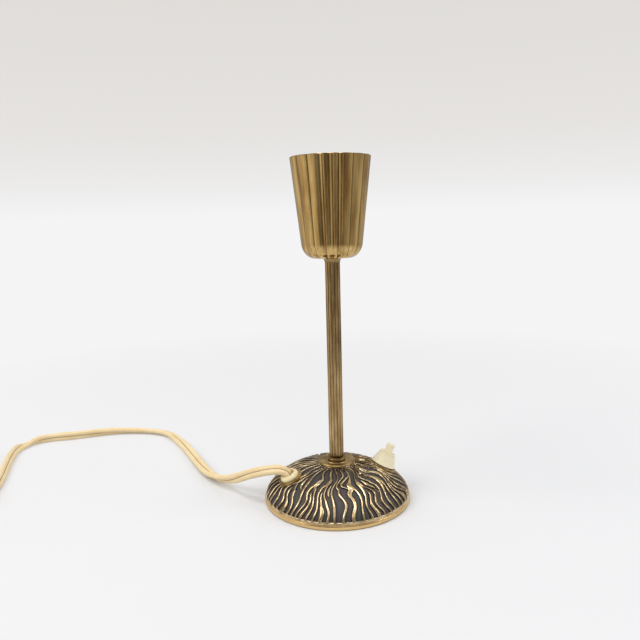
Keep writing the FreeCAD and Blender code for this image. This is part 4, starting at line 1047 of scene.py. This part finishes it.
def relief_surface():
    """Rows of the relief, their angles, and each point's patina, floor colour and tint."""
    distance, out, up = dome_arch(dome_radius, dome_rise, seat_radius)
    length = distance[-1]
    end = length - relief_margin
    body = np.linspace(relief_start, end - end_wall, int(length / relief_row))
    levels = np.concatenate([[0, relief_start / 3], body, [end + step for step in foot_steps]])
    radius = np.interp(levels, distance, out)
    height = np.interp(levels, distance, up)
    normal_out = -np.interp(levels, distance, np.gradient(up, distance))
    normal_up = np.interp(levels, distance, np.gradient(out, distance))
    angle, depth, *marks = relief_rings(levels, length, radius)
    angle = warped(angle, levels, radius, length)
    lump = np.array([[noise.noise(polar(r, math.degrees(a), 0) / lump_size) for a in row]
                     for row, r in zip(angle, radius)])
    depth = depth + lump * lump_depth * marks[0]
    rows = circle_row(radius[:, None] - normal_out[:, None] * depth,
                      height[:, None] - normal_up[:, None] * depth, angle)
    return rows, angle, marks


def make_dome():
    """Closed casting: relief outside, plain inside, a rim and a bore for the stem."""
    rows, angle, (patina, floor, tint) = relief_surface()
    _, inner_out, inner_up = dome_arch(dome_radius - dome_wall, dome_rise - dome_wall, boss_radius)
    picks = np.linspace(len(inner_out) - 1, 0, inner_rows).astype(int)
    inside = [(r * MM, z * MM, mark) for r, z, mark in rim_outline]
    inside += [(inner_out[k], inner_up[k], 1) for k in picks]
    bore = [(boss_radius, boss_bottom, 1), (bore_radius, boss_bottom, 1), (bore_radius, seat_top, 0),
            (seat_radius - seat_round, seat_top, 0), (seat_radius, seat_top - seat_round, 0.5)]
    extra = [circle_row(r, z, angle[-1]) for r, z, mark in inside]
    extra += [circle_row(r, z, angle[0]) for r, z, mark in bore]
    marks = np.array([[mark] * angle.shape[1] for r, z, mark in inside + bore])
    plain = np.full(marks.shape, plain_tint)
    plain[:rim_rows] = rim_tint
    values = {
        "patina": np.concatenate([patina, marks]),
        "floor": np.concatenate([floor * (patina > least_patina), 0 * marks]),
        "tint": np.concatenate([tint, plain]),
    }
    mesh = grid_mesh("base_dome", np.concatenate([rows, extra]), loop_rows=True, values=values)
    return tidy_mesh(mesh, dome_sharp)


def drilled(mesh, holes):
    """The mesh with round holes cut at seats, each a (matrix, radius)."""
    holder = linked("drilling", mesh)
    cutters = []
    for matrix, radius in holes:
        outline = [(radius, -cut_depth), (radius, cut_height)]
        cutter = linked("cutter", turned("cutter", outline, hole_sides, matrix, solid=True))
        step = holder.modifiers.new("hole", "BOOLEAN")
        step.operation = "DIFFERENCE"
        step.solver = "EXACT"
        step.object = cutter
        cutters.append(cutter)
    bpy.context.view_layer.update()
    result = bpy.data.meshes.new_from_object(holder.evaluated_get(bpy.context.evaluated_depsgraph_get()))
    for used in cutters + [holder]:
        bpy.data.objects.remove(used)
    return result


def make_base():
    """Relief dome with its two raised seats."""
    dome = make_dome()
    dome = drilled(dome, [(switch_seat, switch_cut_radius), (bush_seat, bush_cut_radius)])
    dome.name = "base_dome"
    dome.materials.clear()
    add_object("base_dome", dome, "brass_base", replaces=("base_casting",))
    for name, outline, seat in (("switch_pad", switch_pad_outline, switch_seat),
                                ("flex_pad", flex_pad_outline, bush_seat)):
        turned_piece(name, None, "brass_base", outline, pad_rounds, seat, material="brass_trim", steps=4)


make_base()


# Reeded pieces
def reeded(radius, height, count, valley_share, per_reed, flatten=0):
    """Ring of arcs that bulge outwards, with a reed facing the front, and how deep each point lies."""
    step = math.tau / count
    valley = radius * valley_share
    sagitta = radius - valley * math.cos(step / 2)
    chord = valley * math.sin(step / 2)
    arc = (chord * chord + sagitta * sagitta) / (2 * sagitta)
    spread = math.asin(min(1, chord / arc))
    sweep = np.linspace(-spread, spread, per_reed, endpoint=False)
    across = arc * np.sin(sweep)
    out = radius - arc + arc * np.cos(sweep)
    around = np.arctan2(across, out)
    angle = np.concatenate([around + step * k - math.pi / 2 for k in range(count)])
    length = np.tile(np.hypot(across, out), count)
    length = length + (valley - length) * flatten
    deep = np.tile((np.abs(sweep) / spread) ** valley_fade_power, count)
    return circle_row(length, height, angle), deep


def angles_of(row):
    """Angle of each point of a ring."""
    return np.arctan2(row[:, 1], row[:, 0])


def plain_ring(radius, height, angle, darkening):
    """Round ring with an even share of darkening."""
    return circle_row(radius, height, angle), np.full(len(angle), darkening)


def ring_mesh(name, rings, sharp):
    """Closed mesh of rings, each with how deep in a valley its points lie."""
    rows, valleys = zip(*rings)
    return tidy_mesh(grid_mesh(name, rows, loop_rows=True, values={"valley": valleys}), sharp)


def make_stem():
    """Reeded stem whose reeds end in rounded tips above the foot ring."""
    low, high = (corner.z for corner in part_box("stem_tube"))
    reeds = (stem_reeds, stem_valley_share, reed_columns)
    angle = angles_of(reeded(stem_radius, stem_bottom, *reeds)[0])
    rings = [plain_ring(radius, height, angle, 1) for radius, height in (
        (stem_bore_radius, low), (spigot_radius, low), (spigot_radius, stem_bottom))]
    for share in np.linspace(0, 1, stem_end_rows):
        flat = (1 - share) ** 2
        inset = stem_end_round * (1 - math.sqrt(1 - flat)) * end_inset_share
        height = stem_bottom + stem_end_round * end_reach_share * share
        ring, deep = reeded(stem_radius - inset, height, *reeds, flat)
        # The reeds' rounded tips are darkened like the valleys: tarnish and painted shade where they dip
        # into the foot ring
        rings.append((ring, np.maximum(deep, flat)))
    for share in np.linspace(stem_first_share, 1, stem_rows):
        rings.append(reeded(stem_radius, stem_bottom + (stem_top - stem_bottom) * share, *reeds))
    rings += [plain_ring(radius, height, angle, 1) for radius, height in (
        (spigot_radius, stem_top), (spigot_radius, high), (stem_bore_radius, high))]
    add_object("stem", ring_mesh("stem", rings, stem_sharp), "brass_stem", replaces=("stem_tube",))


def shoulder_radius(low, high, share):
    """Radius on the round shoulder at a share of its height."""
    return low + (high - low) * (1 - (1 - share) ** shoulder_power) ** (1 / shoulder_power)


def cup_outside(top, shoulder, reeds):
    """Rings of the cup's outside, from its sole to its lip."""
    mouth, deep = reeded(cup_mouth_radius, top, *reeds)
    angle = angles_of(mouth)
    rings = [plain_ring(radius, cup_bottom, angle, 0) for radius in (bore_radius, cup_sole_radius)]
    for share in np.linspace(0, 1, cup_shoulder_rows) ** 2:
        radius = shoulder_radius(cup_floor_radius, cup_shoulder_radius, share)
        rings.append(reeded(radius, cup_bottom + cup_shoulder_height * share, *reeds))
    for share in np.linspace(0, 1, cup_wall_rows)[1:]:
        height = shoulder + (top - cup_lip_round - shoulder) * share
        slant = (height - shoulder) / (top - shoulder)
        radius = cup_shoulder_radius + (cup_mouth_radius - cup_shoulder_radius) * slant
        rings.append(reeded(radius, height, *reeds))
    outside = np.hypot(mouth[:, 0], mouth[:, 1])
    for turn in np.radians(cup_lip_turns):
        inset = cup_lip_round * (1 - math.cos(turn))
        row = circle_row(outside - inset, top - cup_lip_round * (1 - math.sin(turn)), angle)
        rings.append((row, np.maximum(deep, cup_lip_dirt)))
    return rings


def cup_inside(top, shoulder, angle):
    """Rings of the cup's plain inside, from its lip to its floor."""
    mouth = cup_mouth_radius * cup_valley_share - cup_wall
    waist = cup_shoulder_radius * cup_valley_share - cup_wall
    floor = cup_bottom + cup_floor_wall
    edge = top - cup_edge[-1][1]
    rings = [plain_ring(mouth + inset, top - drop, angle, 0) for inset, drop in cup_edge]
    for share in np.linspace(0, 1, inner_wall_rows)[1:]:
        height = edge + (shoulder - edge) * share
        rings.append(plain_ring(mouth + (waist - mouth) * share, height, angle, cup_inner_dirt * share))
    for share in (1 - np.linspace(0, 1, inner_shoulder_rows)[1:]) ** 2:
        radius = shoulder_radius(cup_floor_radius - cup_wall, waist, share)
        rings.append(plain_ring(radius, floor + (shoulder - floor) * share, angle, cup_floor_dirt))
    return rings + [plain_ring(bore_radius, floor, angle, cup_floor_dirt)]


def make_cup():
    """Reeded cup with a round shoulder, a softened lip and a plain inside."""
    top = cup_bottom + cup_height
    shoulder = cup_bottom + cup_shoulder_height
    rings = cup_outside(top, shoulder, (cup_ribs, cup_valley_share, rib_columns))
    rings += cup_inside(top, shoulder, angles_of(rings[0][0]))
    add_object("cup_shell", ring_mesh("cup_shell", rings, cup_sharp), "brass_cup", replaces=("cup",))


# Stem, disc, foot ring, collar and cup
make_stem()
turned_piece("stem_disc_turned", "stem_disc", "brass_trim", disc_outline, disc_rounds,
             sides=disc_sides)
turned_piece("foot_ring_turned", "foot_ring", "brass_trim", foot_ring_outline, sharp=ring_sharp,
             material="brass_foot")
turned_piece("neck_collar_turned", "neck_collar", "brass_trim", collar_outline,
             sharp=small_sharp)
make_cup()


# Lampholder
def make_threaded_sleeve():
    """Pressed sleeve with a round-crested screw thread."""
    low, high = (corner.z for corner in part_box("threaded_shell"))
    neck = low + sleeve_flange_height
    turn = full_turn(sleeve_columns)
    inner = []
    outer = []
    for height in np.linspace(neck, high, sleeve_rows):
        fade = min(1, (high - height) / sleeve_top_fade, (height - low) / sleeve_low_fade)
        wave = 0.5 - 0.5 * np.cos(math.tau * height / thread_pitch - turn)
        radius = sleeve_radius - wave * thread_depth * fade
        inner.append(circle_row(radius, height, turn))
        outer.append(circle_row(radius + sleeve_wall, height, turn))
    flange = [circle_row(radius, height, turn) for radius, height in (
        (sleeve_flange_radius, neck), (sleeve_flange_radius, low), (sleeve_radius, low))]
    mesh = grid_mesh("threaded_sleeve", inner + outer[::-1] + flange, loop_rows=True)
    add_object("threaded_sleeve", tidy_mesh(mesh, small_sharp), "contact_brass",
               replaces=("threaded_shell",))


make_threaded_sleeve()


# Switch
turned_piece("switch_cone", "switch_cap", "cream_plastic", cap_outline, cap_rounds, switch_seat)
turned_piece("push_button", "switch_button", "cream_plastic", button_outline, None, switch_seat,
             small_sides, small_sharp, body="button", solid=True)


def make_spring():
    """Return spring of the switch, on a mesh of its own; the real spring shortens with the button's travel.
    """
    turn = np.linspace(0, math.tau * spring_turns, spring_turns * spring_steps + 1)
    height = np.linspace(spring_low, spring_high, len(turn))
    lean = math.atan2((spring_high - spring_low) / spring_turns, math.tau * spring_radius)
    out = circle_row(1, 0, turn)
    ahead = circle_row(math.cos(lean), math.sin(lean), turn + math.pi / 2)
    wire = circle_row(spring_wire, 0, full_turn(spring_sides))
    rows = swept(circle_row(spring_radius, height, turn), out, np.cross(ahead, out), wire)
    mesh = grid_mesh("return_spring", rows, caps=True, matrix=switch_seat)
    spring = add_object("return_spring", tidy_mesh(mesh, ring_sharp), "steel",
                        replaces=("switch_spring",))
    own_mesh(spring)


make_spring()


# Bushing
def bush_outline():
    """Outline of the domed bushing, with a flared mouth."""
    dome = [(bush_radius - bush_slope * share ** 3
             - bush_round * smooth((share - bush_round_share) / (1 - bush_round_share)),
             bush_low + (bush_high - bush_low) * share)
            for share in np.linspace(bush_first_share, 1, bush_dome_rows)]
    mouth = [(bush_mouth_radius - bush_mouth_flare * math.sin(turn),
              bush_high - bush_mouth_depth * (1 - math.cos(turn)))
             for turn in np.linspace(0, math.pi / 2, bush_mouth_rows)]
    return [*bush_foot_outline[1:], *dome, *mouth, bush_foot_outline[0]]


turned_piece("flex_bush", "flex_bushing", "cream_plastic", bush_outline(), None, bush_seat,
             bush_sides, bush_sharp, "bush_plastic")


# Plug
def plug_half(side):
    """Rings of a shell half: the plug's plan with a fine seam and a rounded outer edge."""
    corners = [(x * MM, y * MM) for x, y in plug_corners]
    plan = np.array(rounded(corners, [radius * MM for radius in plug_rounds], plug_round_steps))[:, :2]
    ahead = np.roll(plan, -1, axis=0) - np.roll(plan, 1, axis=0)
    outward = np.stack([ahead[:, 1], -ahead[:, 0]], -1)
    outward /= np.linalg.norm(outward, axis=1)[:, None]
    flat = plug_height / 2 - plug_edge
    steps = [(0, plug_seam_depth), (plug_seam_height, 0), (flat, 0)]
    steps += [(flat + plug_edge * math.sin(turn), plug_edge * (1 - math.cos(turn)))
              for turn in np.radians(plug_edge_turns)]
    return [np.column_stack([plan - outward * inset, np.full(len(plan), side * height)])
            for height, inset in steps]


def boot_outline():
    """Outline of the ringed boot behind the plug, from the flex's end."""
    outline = [*boot_start_outline]
    for k in range(boot_rings):
        start = boot_first + boot_pitch * k
        outline += [(radius + boot_spread_share * start, start + height)
                    for radius, height in boot_ring_outline]
    return [*outline, *boot_end_outline]


def make_plug():
    """Two shell halves with rounded edges, a ringed strain relief and round-tipped pins."""
    seat = Matrix.Translation(coil_points()[-1]) @ Matrix.Rotation(math.pi, 4, "Z")
    for name, side, node in (("plug_bottom", -1, "plug_lower"), ("plug_top", 1, "plug_upper")):
        mesh = tidy_mesh(grid_mesh(name, plug_half(side), caps=True, matrix=seat), small_sharp)
        add_object(name, mesh, "plug_plastic", replaces=(node,))
    lie = Matrix.Rotation(math.pi / 2, 4, "Y")
    turned_piece("strain_relief", "plug_relief", "plug_plastic", boot_outline(), None, seat @ lie,
                 small_sides, bush_sharp)
    for side, name in ((-1, "pin_left"), (1, "pin_right")):
        pin_seat = seat @ Matrix.Translation((0, side * pin_side, 0)) @ lie
        turned_piece(name, "plug_pins", "pin_metal", pin_outline, None, pin_seat,
                     pin_sides, small_sharp, solid=True)


make_plug()

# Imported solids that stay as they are
for row in frame["record"]["subparts"]:
    solid = frame["nodes"][row["node"]]
    if solid.hide_render:
        continue
    solid.data.materials.clear()
    solid.data.materials.append(materials[row["material_slot"]])


# Stage and light
def blended(factor, first, second):
    """Mix of two shaders."""
    return put(factor.id_data, "MixShader", {0: factor, 1: first, 2: second}).outputs[0]


def glowing(tree, kind, colour, strength=1):
    """Emission or background of a colour."""
    return put(tree, kind, {"Color": colour, "Strength": strength}).outputs[0]


def between(value, limits):
    """Share of the way of a value from a low to a high limit."""
    inputs = {"Value": value, "From Min": limits[0], "From Max": limits[1]}
    return put(value.id_data, "MapRange", inputs).outputs["Result"]


def room_colours(right, back):
    """What the polished pieces mirror: light and dark shapes round the lamp, paler behind it."""
    across = maths("MULTIPLY_ADD", right, 0.5, 0.5)
    behind = maths("MULTIPLY_ADD", back, 0.5, 0.5)
    stops = [(place, tuple(shade * warmth for warmth in room_warmth_shares)) for place, shade in room_shades]
    return mixed(ramp(behind, room_back_stops), ramp(across, stops), room_back_tone)


def make_floor():
    """Pale floor that fades into the backdrop, or into the room where it is mirrored."""
    mesh = bpy.data.meshes.new("floor")
    corners = [(x * floor_reach, y * floor_reach, 0) for x, y in ((-1, -1), (1, -1), (1, 1), (-1, 1))]
    mesh.from_pydata(corners, [], [(0, 1, 2, 3)])
    material, tree, shader = new_material("pale_floor", roughness=floor_roughness, base_color=floor_tone)
    place = put(tree, "TexCoord").outputs["Object"]
    away = put(tree, "VectorMath", {0: place}, operation="LENGTH").outputs["Value"]
    glow = glowing(tree, "Emission", horizon_tone)
    faded = blended(between(away, floor_fade), shader.outputs[0], glow)
    sides = put(tree, "SeparateXYZ", {0: place})
    right, back = (maths("DIVIDE", sides.outputs[axis], away) for axis in "XY")
    glossy = put(tree, "LightPath").outputs["Is Glossy Ray"]
    mirrored = maths("MULTIPLY", between(away, mirror_fade), glossy)
    room = glowing(tree, "Emission", room_colours(right, back))
    fill(tree.nodes["Material Output"].inputs["Surface"], blended(mirrored, faded, room))
    mesh.materials.append(material)
    linked("floor", mesh)


def make_world():
    """Pale backdrop for the camera, a room for reflections and an even light for the rest."""
    world = bpy.data.worlds.new("studio")
    bpy.context.scene.world = world
    world.use_nodes = True
    tree = world.node_tree
    tree.nodes.clear()
    way = put(tree, "TexCoord").outputs["Generated"]
    parts = put(tree, "SeparateXYZ", {0: way})
    path = put(tree, "LightPath")
    around = room_colours(parts.outputs["X"], parts.outputs["Y"])
    ceiling = ramp(parts.outputs["Z"], room_ceiling_stops)
    shown = glowing(tree, "Background", ramp(parts.outputs["Z"], backdrop_tones))
    mirrored = glowing(tree, "Background", mixed(ceiling, around, room_ceiling_tone))
    even = glowing(tree, "Background", (1, 1, 1), even_light)
    seen = maths("MAXIMUM", path.outputs["Is Camera Ray"], path.outputs["Is Transmission Ray"])
    unseen = blended(path.outputs["Is Glossy Ray"], even, mirrored)
    put(tree, "OutputWorld", {"Surface": blended(seen, unseen, shown)})


def add_softbox(name, place, target, size, power, colour):
    """Square area lamp that faces a target."""
    lamp = bpy.data.lights.new(name, "AREA")
    lamp.shape = "SQUARE"
    lamp.size = size
    lamp.energy = power
    lamp.color = colour
    holder = linked(name, lamp)
    holder.location = place
    holder.rotation_euler = (Vector(target) - Vector(place)).to_track_quat("-Z", "Y").to_euler()


make_floor()
make_world()
for softbox in softboxes:
    add_softbox(*softbox)
bpy.context.scene.view_settings.view_transform = "Standard"
